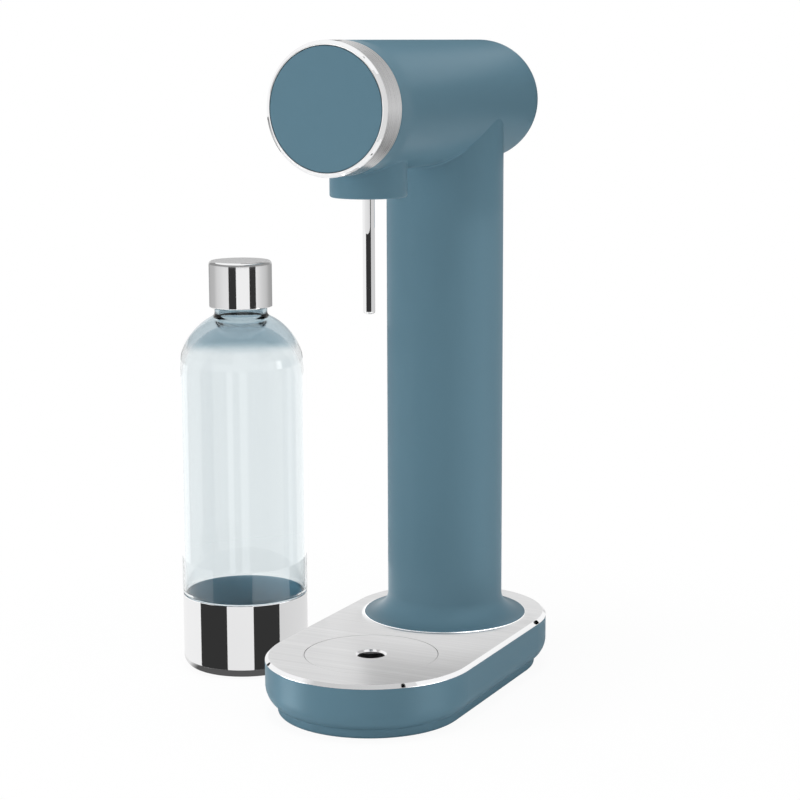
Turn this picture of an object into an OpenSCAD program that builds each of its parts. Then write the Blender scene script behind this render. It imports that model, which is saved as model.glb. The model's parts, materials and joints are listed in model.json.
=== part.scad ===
// Sparkling water maker with a turned knob, its gas cylinder and its bottle.
// The front faces -Y, up is +Z, and the origin is the middle of the face it stands on.

/* [Column and head] */
// Height from the table to the top of the head
overall_h = 431.5; // [410:0.5:450]
// Diameter of the upright column
column_d = 79; // [77:0.5:84]
// Diameter of the head, which lies along Y
head_d = 82; // [80:0.5:90]
// From the column's axis back to the centre of the head's round end
head_rear = 56.5; // [45:0.5:70]
// From the column's axis forward to the nozzle's axis
axis_gap = 115.5; // [108:0.5:130]
// Wall of the painted shell
shell_wall = 2.5; // [1.5:0.1:3]
// How far the column's foot flares outwards
flare_w = 16.2; // [8:0.1:20]
// Height of the flare
flare_h = 14; // [8:0.5:25]
// Thickness of the flare's edge on the plate
flare_edge = 0.8; // [0.4:0.1:2]
// Thickness of the flare's thin upper edge
flare_lip = 0.4; // [0.2:0.1:1]

/* [Base] */
// Half the width of the base
base_r = 69; // [66:0.5:80]
// Height of the top of the steel plate
base_h = 38; // [34:0.5:48]
// How far the base's rear arc lies behind the column's axis
rear_setback = 4; // [0:0.5:12]
// Thickness of the steel top plate
plate_t = 2.5; // [1.5:0.1:4]
// Width of the polished edge of the top plate
plate_bevel = 2.2; // [0.5:0.1:3]
// Height of the bottom of the painted wall
wall_low = 7.5; // [7:0.5:11]
// Radius that draws the painted wall in at the bottom
wall_curve = 15; // [13.5:0.5:18]
// Wall of the base shell and of the plinth
base_wall = 2.5; // [2:0.1:3]
// How far the plinth stands in from the painted wall
plinth_inset = 8; // [7.5:0.1:10]
// Height of the iron weight
weight_h = 7.6; // [5:0.1:9]

/* [Drip parts] */
// Width of the base beside the round drip plate
drip_margin = 25.55; // [24:0.05:31]
// Diameter of the finger hole
finger_hole = 17.5; // [14:0.5:30]
// Bevel round the finger hole
finger_bevel = 1.2; // [0.4:0.1:2]
// Wall of the drip tray
tray_wall = 1.8; // [1:0.1:2.5]
// Height of the tray's floor over the weight
tray_clear = 3; // [1:0.5:6]

/* [Knob] */
// From the nozzle's axis forward to the knob's face
nozzle_to_face = 57.5; // [54:0.5:70]
// Depth of the knob
knob_depth = 21.5; // [19:0.5:26]
// Gap between the knob and the head
knob_gap = 0.5; // [0.3:0.1:1]
// Wall of the steel ring
ring_wall = 2.9; // [2.2:0.1:4]
// Depth of the bevel on the front of the ring
ring_bevel = 1.9; // [1:0.1:3]
// Gap round the painted disc
face_gap = 0.4; // [0.2:0.05:0.8]
// Thickness of the painted disc
face_t = 2.6; // [1.5:0.1:3.5]
// How far the knob turns, in degrees
knob_turn = 45; // [30:1:50]
// How far the cam presses the plunger
plunger_travel = 2.4; // [1.5:0.1:2.6]
// Diameter of the knob's shaft
shaft_d = 10; // [8:0.5:11]

/* [Nozzle] */
// Outer radius of the collar under the head
collar_r = 24.4; // [23.5:0.1:28]
// Wall of the collar
collar_wall = 2.4; // [1.5:0.1:3]
// How far the collar hangs below the head
collar_drop = 15; // [12:0.5:20]
// Outer radius of the carbonation tube
tube_r = 3.85; // [3:0.05:4.5]
// How far the tube hangs below the collar
tube_drop = 73.7; // [50:0.5:90]
// Inner radius of the ring that the bottle screws into
coupling_bore = 18.6; // [18:0.1:19.2]

/* [Gas cylinder] */
// Radius of the gas cylinder
gas_r = 30; // [28:0.25:30]
// Height of the cylinder's bottom over the table
gas_low = 14; // [13:0.5:20]
// Radius of the cylinder valve's thread
thread_r = 10.5; // [9:0.1:11]
// How far the thread reaches into the valve block
thread_h = 18; // [14:0.5:18]

/* [Bottle] */
// Place of the bottle's axis to the left of the machine
bottle_x = -127.5; // [-150:0.5:-118]
// Place of the bottle's axis along Y
bottle_y = -1; // [-40:0.5:40]
// Radius of the bottle
bottle_r = 43.3; // [38:0.1:46]
// Height of the centre of the round shoulder
shoulder_z = 207.2; // [150:0.2:230]
// Height of the steel sleeve
sleeve_h = 52; // [35:0.5:70]
// Radius of the sleeve's lower corner
sleeve_round = 7; // [3:0.5:10]
// Wall of the bottle
bottle_wall = 2; // [1.5:0.1:3]
// Radius of the bottle's neck
neck_r = 18; // [16:0.1:18.2]
// Radius of the steel cap
cap_r = 21.5; // [21.5:0.1:24]
// Height of the steel cap
cap_h = 31.6; // [28:0.2:36]

/* [Hidden] */
$fn = 96;

// Clearances and the overrun of every cut
overrun = 1;
touch_gap = 0.15;
running_fit = 0.05;
slide_gap = 0.3;
loose_gap = 0.5;

// Places of the main axes
column_r = column_d / 2;
head_r = head_d / 2;
head_z = overall_h - head_r;
base_straight = axis_gap + rear_setback;
front_y = -base_straight / 2;
rear_y = base_straight / 2;
nozzle_y = front_y;
column_y = front_y + axis_gap;
round_y = column_y + head_rear;
face_y = nozzle_y - nozzle_to_face;
knob_back_y = face_y + knob_depth;
head_front_y = knob_back_y + knob_gap;
head_bore = head_r - shell_wall;
column_bore = column_r - shell_wall;

// Screws: the head and the socket follow the thread's diameter
screw_d = 3;
big_screw_d = 4;
screw_head_share = 1.8;
screw_head_h_share = 0.6;
screw_socket_share = 0.95;
screw_socket_depth_share = 0.35;

// Chassis in the head
shaft_drop = 17;
chassis_t = 3;
chassis_half = 30;
chassis_end = 3.25;
chassis_top = head_z - shaft_drop;
chassis_z = chassis_top - chassis_t;
chassis_boss_r = 4;
chassis_boss_x = 25;
chassis_screw_l = 9;
front_plate_t = 4;
chassis_front_y = head_front_y + front_plate_t + chassis_end;
chassis_rear_y = round_y - chassis_boss_r * 2;
chassis_screw_ys = [chassis_front_y + chassis_boss_r, chassis_rear_y - chassis_boss_r];

// Shaft, bushes and pedestals
shaft_r = shaft_d / 2;
bush_wall = 2.5;
bush_flange_w = 2.5;
bush_flange_t = 1.5;
bush_r = shaft_r + running_fit + bush_wall;
pedestal_t = 8;
pedestal_gap = 24;
pedestal_wall = 5;
pedestal_r = bush_r + pedestal_wall;
shaft_inset = 9;
shaft_end = 2;
shaft_front_y = face_y + shaft_inset;
shaft_rear_y = column_y + pedestal_gap + pedestal_t / 2 + shaft_end;

// Front plate with its stop slot and screw bosses
plate_hub_wall = 4;
plate_hub_l = 8;
plate_screw_in = 4.5;
plate_screw_r = head_bore - plate_screw_in;
plate_screw_l = 10;
plate_boss_l = 9;
stop_r = 24;
stop_pin_r = 2;
stop_reach = 3;
stop_start = 90 + knob_turn / 2;

// Knob
ring_bore = head_r - ring_wall;
ring_lip = 0.3;
face_sink = 0.3;
hub_t = 4;
hub_skirt_wall = 2.3;
hub_skirt_l = 11;
hub_boss_wall = 4;
hub_back_gap = 1;
hub_screw_l = 16;
hub_screw_sink = 2.8;
hub_y = face_y + face_sink + face_t;
stop_boss_wall = 2;

// Cam: its lower side is the involute that presses the flat plunger in step with the turn
cam_wall = 4;
cam_r = shaft_r + cam_wall;
cam_t = 8;
cam_rate = plunger_travel / (knob_turn * PI / 180);
cam_extra = 5;
cam_steps = 25;
cam_pin_r = 1.5;

// Plunger and valve block
plunger_head_r = 6.5;
plunger_head_t = 3;
plunger_stem_r = 2.5;
plunger_top = head_z - cam_r - touch_gap;
plunger_head_z = plunger_top - plunger_head_t;
pocket_r = plunger_head_r + loose_gap;
pocket_depth = 7;
pocket_z = chassis_z - pocket_depth;
stem_seal_r = 4.5;
stem_seal_h = 2.5;
block_r = 27;
seat_depth = 17;
seat_z = chassis_z - seat_depth;
block_low = seat_z - thread_h + touch_gap;
block_screw_x = 18;
block_screw_l = 15;
chamber_r = 5;
chamber_h = 4;
drill_r = 1.5;
drill_in = 11;
plunger_wire_r = 0.6;
plunger_coil_r = 5.6;
plunger_turns = 4;

// Gas cylinder, its valve and its washer
gasket_t = 2;
gasket_r = thread_r - touch_gap / 2;
gasket_bore = 6;
valve_top = seat_z - touch_gap - gasket_t - touch_gap;
valve_cup_r = 4;
valve_cup_h = 4;
pin_r = 1.5;
pin_rise = 1;
pin_l = 20;
pin_top = valve_top + pin_rise;
plunger_tip = pin_top + touch_gap;
valve_hex_r = 15.5;
valve_hex_h = 9;
valve_stub_r = 11;
valve_stub_h = 10;
neck_top = valve_top - thread_h - valve_hex_h;
gas_neck_r = 15;
gas_neck_h = 8;
gas_shoulder_h = 26;
gas_wall = 3;
gas_foot = 8;
guide_gap = 0.4;
guide_h = 10;
guide_low_z = 38;
guide_top_down = 12;
guide_top_z = neck_top - gas_neck_h - gas_shoulder_h - guide_top_down;

// Nozzle
head_low = head_z - head_r;
collar_low = head_low - collar_drop;
collar_over = 2;
collar_top = head_z - sqrt(head_bore * head_bore - collar_r * collar_r) + collar_over;
collar_bore = collar_r - collar_wall;
collar_round = 1.5;
coupling_in = 2;
coupling_low = collar_low + coupling_in;
nozzle_flange_h = 4;
nozzle_body_r = 16;
nozzle_low = chassis_z - seat_depth;
nozzle_seal_t = 4;
nozzle_screw_x = 10.5;
nozzle_screw_l = 12;
tube_tip = collar_low - tube_drop;
tube_bore = 1.6;
tube_round = 1.5;
rib_h = 1.4;
rib_w = 0.5;
rib_pitch = 4;
rib_count = 3;
pipe_r = 2;
nut_r = 4.6;
nut_l = 5;
pipe_down = 4.8;
pipe_seat = 4;
pipe_z = chassis_z - pipe_down;
tube_top = pipe_z - pipe_r * 2;
plug_r = 3;
plug_l = 4;
plug_hex_r = 4;
plug_head_share = 0.75;
plug_vent_share = 0.25;

// Torsion spring on the shaft
return_wire_r = 0.8;
return_coil_gap = 3;
return_coil_r = shaft_r + return_coil_gap;
return_turns = 6;
return_pitch = 2.7;
return_leg = 6;
return_gap = 2;
return_y = head_front_y + front_plate_t + plate_hub_l + bush_flange_t + return_gap;

// Base
plate_low = base_h - plate_t;
plate_edge = 0.3;
pad_show = 0.8;
pad_t = 2.4;
pad_r = 7;
pad_x = 42;
pad_y = 82;
floor_t = 3.6;
floor_z = pad_show + floor_t;
weight_top = floor_z + weight_h;
plinth_r = base_r - plinth_inset;
plinth_round = 2;
wall_curve_h = 12.5;
curve_z = wall_low + wall_curve_h;
weight_gap = 0.5;
weight_r = plinth_r - base_wall - weight_gap;
gas_way = gas_r + loose_gap * 3;
deck_t = 3;
deck_z = plate_low - deck_t;
base_boss_r = 4.5;
base_boss_in = 17;
base_screw_l = 20;
base_screw_sink = 2.4;
base_screw_z = pad_show + base_screw_sink;
base_screw_spots = [
    [base_r - base_boss_in, front_y], [base_boss_in - base_r, front_y],
    [base_r - base_boss_in, rear_y - base_boss_in], [base_boss_in - base_r, rear_y - base_boss_in],
    [0, front_y - base_r + base_boss_in], [0, rear_y + base_r - base_boss_in]];
column_boss_r = 3;
column_boss_h = 22;
column_boss_at = column_bore - column_boss_r + touch_gap;
column_screw_d = 2.5;
column_screw_l = 22;
pad_spots = [[0, 0], [pad_x, -pad_y], [-pad_x, -pad_y], [pad_x, pad_y], [-pad_x, pad_y]];

// Drip tray
drip_r = base_r - drip_margin;
well_r = drip_r + slide_gap;
ledge_w = 1.5;
ledge_depth = 1.5;
well_bore = well_r - ledge_w;
rim_t = 1.2;
rim_z = plate_low - ledge_depth + touch_gap;
tray_r = well_bore - loose_gap;
tray_z = weight_top + tray_clear;
drip_z = rim_z + rim_t + touch_gap;

// Bottle
body_gap = 0.4;
cup_wall = 1.4;
sleeve_wall = 1;
cup_r = bottle_r - sleeve_wall;
seat_r = cup_r - cup_wall;
foot_r = 33;
foot_bore = 24;
foot_t = 2;
foot_show = 0.6;
cup_z = foot_t + sleeve_wall;
vessel_z = cup_z + cup_wall;
vessel_round = 14;
neck_show = 5.5;
cap_low = shoulder_z + sqrt(bottle_r * bottle_r - neck_r * neck_r) + neck_show;
cap_shell_t = 0.8;
cap_round = 2;
cap_top = cap_low + cap_h;
liner_t = 2.4;
liner_r = cap_r - cap_shell_t;
liner_bore = neck_r + slide_gap;
liner_top = cap_top - cap_shell_t;
seal_t = 2;
seal_r = neck_r - loose_gap;
mouth_z = liner_top - liner_t - seal_t - touch_gap * 2;
finish_in = 0.8;
finish_r = neck_r - finish_in;
finish_z = cap_low - finish_in;
neck_bore = finish_r - bottle_wall;

paint = "#5f8496";
steel = "#c9cacc";

// Puts a shape drawn in X and Z on the head's axis, growing forward from y
module forward(y, z = head_z) {
    translate([0, y, z]) rotate([90, 0, 0]) children();
}

// Screw whose head rests on z = 0 and whose thread points down
module screw(length, d = screw_d) {
    head_h = d * screw_head_h_share;
    difference() {
        union() {
            translate([0, 0, -length]) cylinder(d = d, h = length);
            cylinder(d = d * screw_head_share, h = head_h);
        }
        translate([0, 0, head_h - d * screw_socket_depth_share])
            cylinder(d = d * screw_socket_share, h = head_h + overrun, $fn = 6);
    }
}

// Solid with the base's long round outline, from a profile of radius and height
module long_turn() {
    for (y = [front_y, rear_y]) translate([0, y, 0]) rotate_extrude() children();
    translate([0, rear_y, 0]) rotate([90, 0, 0]) linear_extrude(base_straight) {
        children();
        mirror([1, 0]) children();
    }
}

module long_plate(r, z, h) {
    long_turn() translate([0, z]) square([r, h]);
}

module ring(outer, inner, z, h) {
    translate([0, 0, z]) difference() {
        cylinder(r = outer, h = h);
        translate([0, 0, -overrun]) cylinder(r = inner, h = h + overrun * 2);
    }
}

module at_column() {
    translate([0, column_y, 0]) children();
}

module at_nozzle() {
    translate([0, nozzle_y, 0]) children();
}

module at_bottle() {
    translate([bottle_x, bottle_y, 0]) children();
}

// Points of an arc round a centre
function arc(cx, cy, r, from, to, steps = 12) =
    [for (i = [0:steps]) let (a = from + (to - from) * i / steps) [cx + r * cos(a), cy + r * sin(a)]];

// Unbroken round wire along a list of points, square to its path
function unit(v) = v / norm(v);
function along(p, i) = unit(p[min(i + 1, len(p) - 1)] - p[max(i - 1, 0)]);
function side(p, i, up) = unit(cross(along(p, i), up));

module wire(path, r, up, sides = 8) {
    count = len(path);
    points = [for (i = [0:count - 1]) let (s = side(path, i, up), t = cross(s, along(path, i)))
        for (k = [0:sides - 1]) path[i] + r * (cos(k * 360 / sides) * s + sin(k * 360 / sides) * t)];
    walls = [for (i = [0:count - 2]) for (k = [0:sides - 1])
        let (a = i * sides + k, b = i * sides + (k + 1) % sides)
        each [[a, a + sides, b], [b, a + sides, b + sides]]];
    first = [for (k = [1:sides - 2]) [0, k, k + 1]];
    last = [for (k = [1:sides - 2]) let (o = (count - 1) * sides) [o, o + k + 1, o + k]];
    polyhedron(points = points, faces = concat(walls, first, last), convexity = 10);
}

// Least free gap between the turns of a wire, over points more than half a turn apart
function least_gap(path, r, skip) = min([for (i = [0:len(path) - 1]) for (j = [i + skip:len(path) - 1])
    norm(path[i] - path[j])]) - r * 2;

// Head and column

module housing_outline() {
    forward(round_y) cylinder(r = head_r, h = round_y - head_front_y);
    translate([0, round_y, head_z]) sphere(r = head_r);
    at_column() translate([0, 0, weight_top]) cylinder(r = column_r, h = head_z - weight_top);
}

module housing_bosses() {
    for (x = [-chassis_boss_x, chassis_boss_x]) for (y = chassis_screw_ys)
        translate([x, y, head_low]) cylinder(r = chassis_boss_r, h = chassis_z - head_low);
    forward(head_front_y + front_plate_t + plate_boss_l) for (a = [0, 90, 180])
        rotate(a) translate([plate_screw_r, 0, 0])
            cylinder(r = plate_screw_in + shell_wall / 2, h = plate_boss_l);
    at_column() for (a = [45:90:315])
        rotate(a) translate([column_boss_at, 0, weight_top]) cylinder(r = column_boss_r, h = column_boss_h);
}

module housing() {
    color(paint) difference() {
        union() {
            difference() {
                housing_outline();
                forward(round_y) cylinder(r = head_bore, h = round_y - head_front_y + overrun);
                translate([0, round_y, head_z]) sphere(r = head_bore);
                at_column() translate([0, 0, weight_top - overrun])
                    cylinder(r = column_bore, h = head_z - weight_top);
            }
            intersection() {
                housing_outline();
                housing_bosses();
            }
        }
        at_nozzle() translate([0, 0, head_low - overrun]) cylinder(r = collar_r, h = head_z - head_low);
        for (x = [-chassis_boss_x, chassis_boss_x]) for (y = chassis_screw_ys)
            translate([x, y, chassis_top - chassis_screw_l])
                cylinder(d = screw_d, h = chassis_screw_l + overrun);
        forward(head_front_y + plate_screw_l) for (a = [0, 90, 180])
            rotate(a) translate([plate_screw_r, 0, 0]) cylinder(d = screw_d, h = plate_screw_l + overrun);
        at_column() for (a = [45:90:315])
            rotate(a) translate([column_boss_at, 0, 0])
                cylinder(d = column_screw_d, h = base_screw_z + column_screw_l);
    }
}

// Ring round the column's foot that flares out over the steel plate
module column_foot() {
    lip_turn = acos(1 - flare_lip / flare_w);
    color(paint) at_column() translate([0, 0, base_h]) rotate_extrude() polygon(concat(
        [[column_r, 0], [column_r + flare_w, 0]],
        [for (i = [0:16]) let (a = 90 - i * (90 - lip_turn) / 16)
            [column_r + flare_w * (1 - cos(a)), flare_edge + flare_h * (1 - sin(a))]],
        [[column_r, flare_edge + flare_h * (1 - sin(lip_turn))]]));
}

module nozzle_collar() {
    color(paint) at_nozzle() rotate_extrude() polygon(concat(
        [[collar_bore, collar_top], [collar_bore, collar_low]],
        arc(collar_r - collar_round, collar_low + collar_round, collar_round, -90, 0, 6),
        [[collar_r, collar_top]]));
}

module front_plate() {
    color("#8d9296") difference() {
        union() {
            forward(head_front_y + front_plate_t) cylinder(r = head_bore, h = front_plate_t);
            forward(head_front_y + front_plate_t + plate_hub_l)
                cylinder(r = bush_r + plate_hub_wall, h = plate_hub_l + front_plate_t);
        }
        forward(head_front_y + front_plate_t + plate_hub_l + overrun)
            cylinder(r = bush_r, h = front_plate_t + plate_hub_l + overrun * 2);
        forward(head_front_y + front_plate_t + overrun) for (a = [0, 90, 180])
            rotate(a) translate([plate_screw_r, 0, 0]) cylinder(d = screw_d, h = front_plate_t + overrun * 2);
        forward(head_front_y + front_plate_t + overrun) stop_slot(front_plate_t + overrun * 2);
    }
}

// Curved slot that stops the knob at both ends of its turn
module stop_slot(h) {
    half = stop_pin_r + slide_gap;
    rotate(stop_start - knob_turn) rotate_extrude(angle = knob_turn)
        translate([stop_r - half, 0]) square([half * 2, h]);
    for (a = [stop_start, stop_start - knob_turn])
        rotate(a) translate([stop_r, 0, 0]) cylinder(r = half, h = h);
}

module bush(length) {
    difference() {
        union() {
            cylinder(r = bush_r, h = length);
            translate([0, 0, -bush_flange_t]) cylinder(r = bush_r + bush_flange_w, h = bush_flange_t);
        }
        translate([0, 0, -overrun * 2]) cylinder(r = shaft_r + running_fit, h = length + overrun * 3);
    }
}

module front_bush() {
    color("#b08d4c") forward(head_front_y + front_plate_t + plate_hub_l) bush(front_plate_t + plate_hub_l);
}

module front_plate_screws() {
    color(steel) forward(head_front_y) for (a = [0, 90, 180])
        rotate(a) translate([plate_screw_r, 0, 0]) screw(plate_screw_l);
}

module chassis() {
    color("#a9adb0") difference() {
        union() {
            translate([-chassis_half, chassis_front_y, chassis_z])
                cube([chassis_half * 2, chassis_rear_y - chassis_front_y, chassis_t]);
            for (s = [-1, 1]) translate([0, column_y + s * pedestal_gap + pedestal_t / 2, head_z])
                rotate([90, 0, 0]) {
                    cylinder(r = pedestal_r, h = pedestal_t);
                    translate([-pedestal_r, -shaft_drop, 0]) cube([pedestal_r * 2, shaft_drop, pedestal_t]);
                }
        }
        forward(chassis_rear_y + overrun)
            cylinder(r = bush_r, h = chassis_rear_y - chassis_front_y + overrun * 2);
        at_column() translate([0, 0, chassis_z - overrun]) {
            cylinder(r = pocket_r, h = chassis_t + overrun * 2);
            for (s = [-1, 1]) translate([s * block_screw_x, 0, 0])
                cylinder(d = screw_d, h = chassis_t + overrun * 2);
        }
        at_nozzle() translate([0, 0, chassis_z - overrun]) for (s = [-1, 1])
            translate([s * nozzle_screw_x, 0, 0]) cylinder(d = screw_d, h = chassis_t + overrun * 2);
        for (x = [-chassis_boss_x, chassis_boss_x]) for (y = chassis_screw_ys)
            translate([x, y, chassis_z - overrun]) cylinder(d = screw_d, h = chassis_t + overrun * 2);
    }
}

module pedestal_bushes() {
    color("#b08d4c") {
        forward(column_y + pedestal_gap + pedestal_t / 2) bush(pedestal_t);
        forward(column_y - pedestal_gap - pedestal_t / 2) mirror([0, 0, 1]) bush(pedestal_t);
    }
}

module chassis_screws() {
    color(steel) for (x = [-chassis_boss_x, chassis_boss_x]) for (y = chassis_screw_ys)
        translate([x, y, chassis_top]) screw(chassis_screw_l);
}

// Valve block and gas way

module valve_block() {
    color("#b9bcc0") at_column() difference() {
        translate([0, 0, block_low]) cylinder(r = block_r, h = chassis_z - block_low);
        translate([0, 0, block_low - overrun])
            cylinder(r = thread_r + slide_gap, h = seat_z - block_low + overrun);
        translate([0, 0, seat_z - overrun]) cylinder(r = chamber_r, h = chamber_h + overrun);
        cylinder(r = plunger_stem_r + slide_gap, h = chassis_z);
        translate([0, 0, pocket_z]) cylinder(r = pocket_r, h = pocket_depth + overrun);
        translate([0, 0, pocket_z - stem_seal_h]) cylinder(r = stem_seal_r, h = stem_seal_h + overrun);
        for (s = [-1, 1]) translate([s * block_screw_x, 0, chassis_top - block_screw_l])
            cylinder(d = screw_d, h = block_screw_l);
        // Gas way from the chamber to the pipe
        translate([0, -block_r + drill_in, seat_z + chamber_h / 2]) rotate([-90, 0, 0])
            cylinder(r = drill_r, h = block_r - drill_in);
        translate([0, -block_r + drill_in, seat_z + chamber_h / 2])
            cylinder(r = drill_r, h = pipe_z - seat_z - chamber_h / 2);
        translate([0, -block_r - overrun, pipe_z]) rotate([-90, 0, 0])
            cylinder(r = drill_r, h = drill_in + overrun);
        translate([0, -block_r - overrun, pipe_z]) rotate([-90, 0, 0])
            cylinder(r = pipe_r, h = pipe_seat + overrun);
        // Way to the safety valve
        translate([0, 0, seat_z + chamber_h / 2]) rotate([0, 90, 0])
            cylinder(r = drill_r, h = block_r + overrun);
        translate([block_r - plug_l, 0, seat_z + chamber_h / 2]) rotate([0, 90, 0])
            cylinder(r = plug_r, h = plug_l + overrun);
    }
}

module valve_block_screws() {
    color(steel) at_column() for (s = [-1, 1])
        translate([s * block_screw_x, 0, chassis_top]) screw(block_screw_l);
}

module plunger_seal() {
    color("#202224") at_column()
        ring(stem_seal_r, plunger_stem_r + running_fit, pocket_z - stem_seal_h, stem_seal_h);
}

// Plug with a hexagon head, growing outwards along +X from x = 0, with its thread behind
module plug(vent) {
    rotate([0, 90, 0]) difference() {
        union() {
            translate([0, 0, -plug_l]) cylinder(r = plug_r, h = plug_l);
            cylinder(r = plug_hex_r, h = plug_l * plug_head_share, $fn = 6);
        }
        translate([0, 0, plug_l * plug_vent_share]) cylinder(r = vent, h = plug_l);
    }
}

module safety_valve() {
    color("#b08d4c") at_column() translate([block_r, 0, seat_z + chamber_h / 2]) plug(drill_r);
}

module gas_pipe() {
    from_y = nozzle_y + nozzle_body_r - pipe_seat;
    to_y = column_y - block_r + pipe_seat;
    color(steel) forward(to_y, pipe_z) difference() {
        cylinder(r = pipe_r, h = to_y - from_y);
        translate([0, 0, -overrun]) cylinder(r = pipe_r / 2, h = to_y - from_y + overrun * 2);
    }
}

module pipe_nuts() {
    nut_seat = block_r - sqrt(block_r * block_r - nut_r * nut_r);
    body_seat = nozzle_body_r - sqrt(nozzle_body_r * nozzle_body_r - nut_r * nut_r);
    color("#b08d4c") difference() {
        union() {
            forward(column_y - block_r + nut_seat, pipe_z) cylinder(r = nut_r, h = nut_l, $fn = 6);
            forward(nozzle_y + nozzle_body_r + nut_l - body_seat, pipe_z)
                cylinder(r = nut_r, h = nut_l, $fn = 6);
        }
        forward(column_y, pipe_z) cylinder(r = pipe_r, h = axis_gap);
        at_column() cylinder(r = block_r, h = head_z);
        at_nozzle() cylinder(r = nozzle_body_r, h = head_z);
    }
}

// Nozzle

module nozzle_body() {
    color("#2b2e31") at_nozzle() difference() {
        union() {
            translate([0, 0, nozzle_low]) cylinder(r = collar_bore, h = nozzle_flange_h);
            translate([0, 0, nozzle_low]) cylinder(r = nozzle_body_r, h = chassis_z - nozzle_low);
        }
        translate([0, 0, nozzle_low - overrun]) cylinder(r = tube_r, h = tube_top - nozzle_low + overrun);
        translate([0, 0, nozzle_low]) cylinder(r = tube_bore, h = pipe_z - nozzle_low);
        for (s = [-1, 1]) translate([s * nozzle_screw_x, 0, chassis_top - nozzle_screw_l])
            cylinder(d = screw_d, h = nozzle_screw_l);
        translate([0, 0, pipe_z]) rotate([-90, 0, 0]) cylinder(r = drill_r, h = nozzle_body_r + overrun);
        translate([0, nozzle_body_r - pipe_seat, pipe_z]) rotate([-90, 0, 0])
            cylinder(r = pipe_r, h = pipe_seat + overrun);
        translate([0, -nozzle_body_r - overrun, pipe_z]) rotate([-90, 0, 0])
            cylinder(r = plug_r, h = plug_l + overrun);
    }
}

module nozzle_screws() {
    color(steel) at_nozzle() for (s = [-1, 1])
        translate([s * nozzle_screw_x, 0, chassis_top]) screw(nozzle_screw_l);
}

module relief_valve() {
    color("#b08d4c") at_nozzle() translate([0, -nozzle_body_r, pipe_z]) rotate(-90) plug(drill_r);
}

module nozzle_seal() {
    color("#202224") at_nozzle() ring(coupling_bore, tube_r, nozzle_low - nozzle_seal_t, nozzle_seal_t);
}

module bottle_coupling() {
    color("#2b2e31") at_nozzle() {
        ring(collar_bore, coupling_bore, coupling_low, nozzle_low - coupling_low);
        for (i = [0:rib_count - 1]) translate([0, 0, coupling_low + rib_pitch * (i + 0.5)])
            rotate_extrude() polygon([[coupling_bore, -rib_h / 2], [coupling_bore - rib_w, 0],
                [coupling_bore, rib_h / 2], [coupling_bore + rib_w, 0]]);
    }
}

module carbonation_tube() {
    color(steel) at_nozzle() rotate_extrude() polygon(concat(
        [[tube_bore, tube_top], [tube_bore, tube_tip + tube_round]],
        [[tube_bore / 2, tube_tip]],
        arc(tube_r - tube_round, tube_tip + tube_round, tube_round, -90, 0, 6),
        [[tube_r, tube_top]]));
}

return_path = concat(
    [[return_coil_r, 0, chassis_top - head_z], [return_coil_r, 0, (chassis_top - head_z) / 2]],
    [for (i = [0:return_turns * 16 + 8]) let (a = i * 360 / 16)
        [return_coil_r * cos(a), return_pitch * i / 16, return_coil_r * sin(a)]],
    [[-return_coil_r, return_pitch * (return_turns + 0.5), -return_leg]]);

module return_spring() {
    color("#9a9da1") translate([0, return_y, head_z]) wire(return_path, return_wire_r, [0, 1, 0]);
}

// Knob

module knob_ring() {
    color(steel) forward(knob_back_y) rotate_extrude() polygon([
        [ring_bore, 0], [head_r, 0], [head_r, knob_depth - ring_bevel],
        [ring_bore + ring_lip, knob_depth], [ring_bore, knob_depth]]);
}

module knob_face() {
    color(paint) forward(hub_y) cylinder(r = ring_bore - face_gap, h = face_t);
}

module knob_hub() {
    boss_l = knob_back_y - hub_back_gap - hub_y;
    color("#2b2e31") difference() {
        union() {
            forward(hub_y + hub_t) cylinder(r = ring_bore, h = hub_t);
            forward(hub_y + hub_t + hub_skirt_l) difference() {
                cylinder(r = ring_bore, h = hub_skirt_l);
                translate([0, 0, -overrun])
                    cylinder(r = ring_bore - hub_skirt_wall, h = hub_skirt_l + overrun);
            }
            forward(hub_y + boss_l) cylinder(r = shaft_r + hub_boss_wall, h = boss_l);
            forward(hub_y + boss_l) rotate(stop_start) translate([stop_r, 0, 0])
                cylinder(r = stop_pin_r + stop_boss_wall, h = boss_l);
            forward(head_front_y + stop_reach) rotate(stop_start) translate([stop_r, 0, 0])
                cylinder(r = stop_pin_r, h = head_front_y + stop_reach - hub_y);
        }
        forward(head_front_y) cylinder(r = shaft_r, h = head_front_y - shaft_front_y);
        forward(shaft_front_y + overrun) cylinder(d = big_screw_d, h = knob_depth);
        forward(hub_y + hub_screw_sink)
            cylinder(d = big_screw_d * screw_head_share, h = hub_screw_sink + overrun);
    }
}

module knob_screw() {
    color(steel) forward(hub_y + hub_screw_sink) screw(hub_screw_l, big_screw_d);
}

module knob_shaft() {
    color("#8d9296") difference() {
        forward(shaft_rear_y) cylinder(r = shaft_r, h = shaft_rear_y - shaft_front_y);
        forward(hub_y + hub_screw_sink + hub_screw_l) cylinder(d = big_screw_d, h = hub_screw_l + overrun);
        at_column() translate([-cam_r, 0, head_z]) rotate([0, 90, 0]) cylinder(r = cam_pin_r, h = cam_r * 2);
    }
}

// Point of the involute whose outward normal points straight down after a turn by a
function cam_point(a) = let (h = cam_r + cam_rate * a * PI / 180)
    [h * sin(a) + cam_rate * cos(a), -h * cos(a) + cam_rate * sin(a)];

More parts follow.
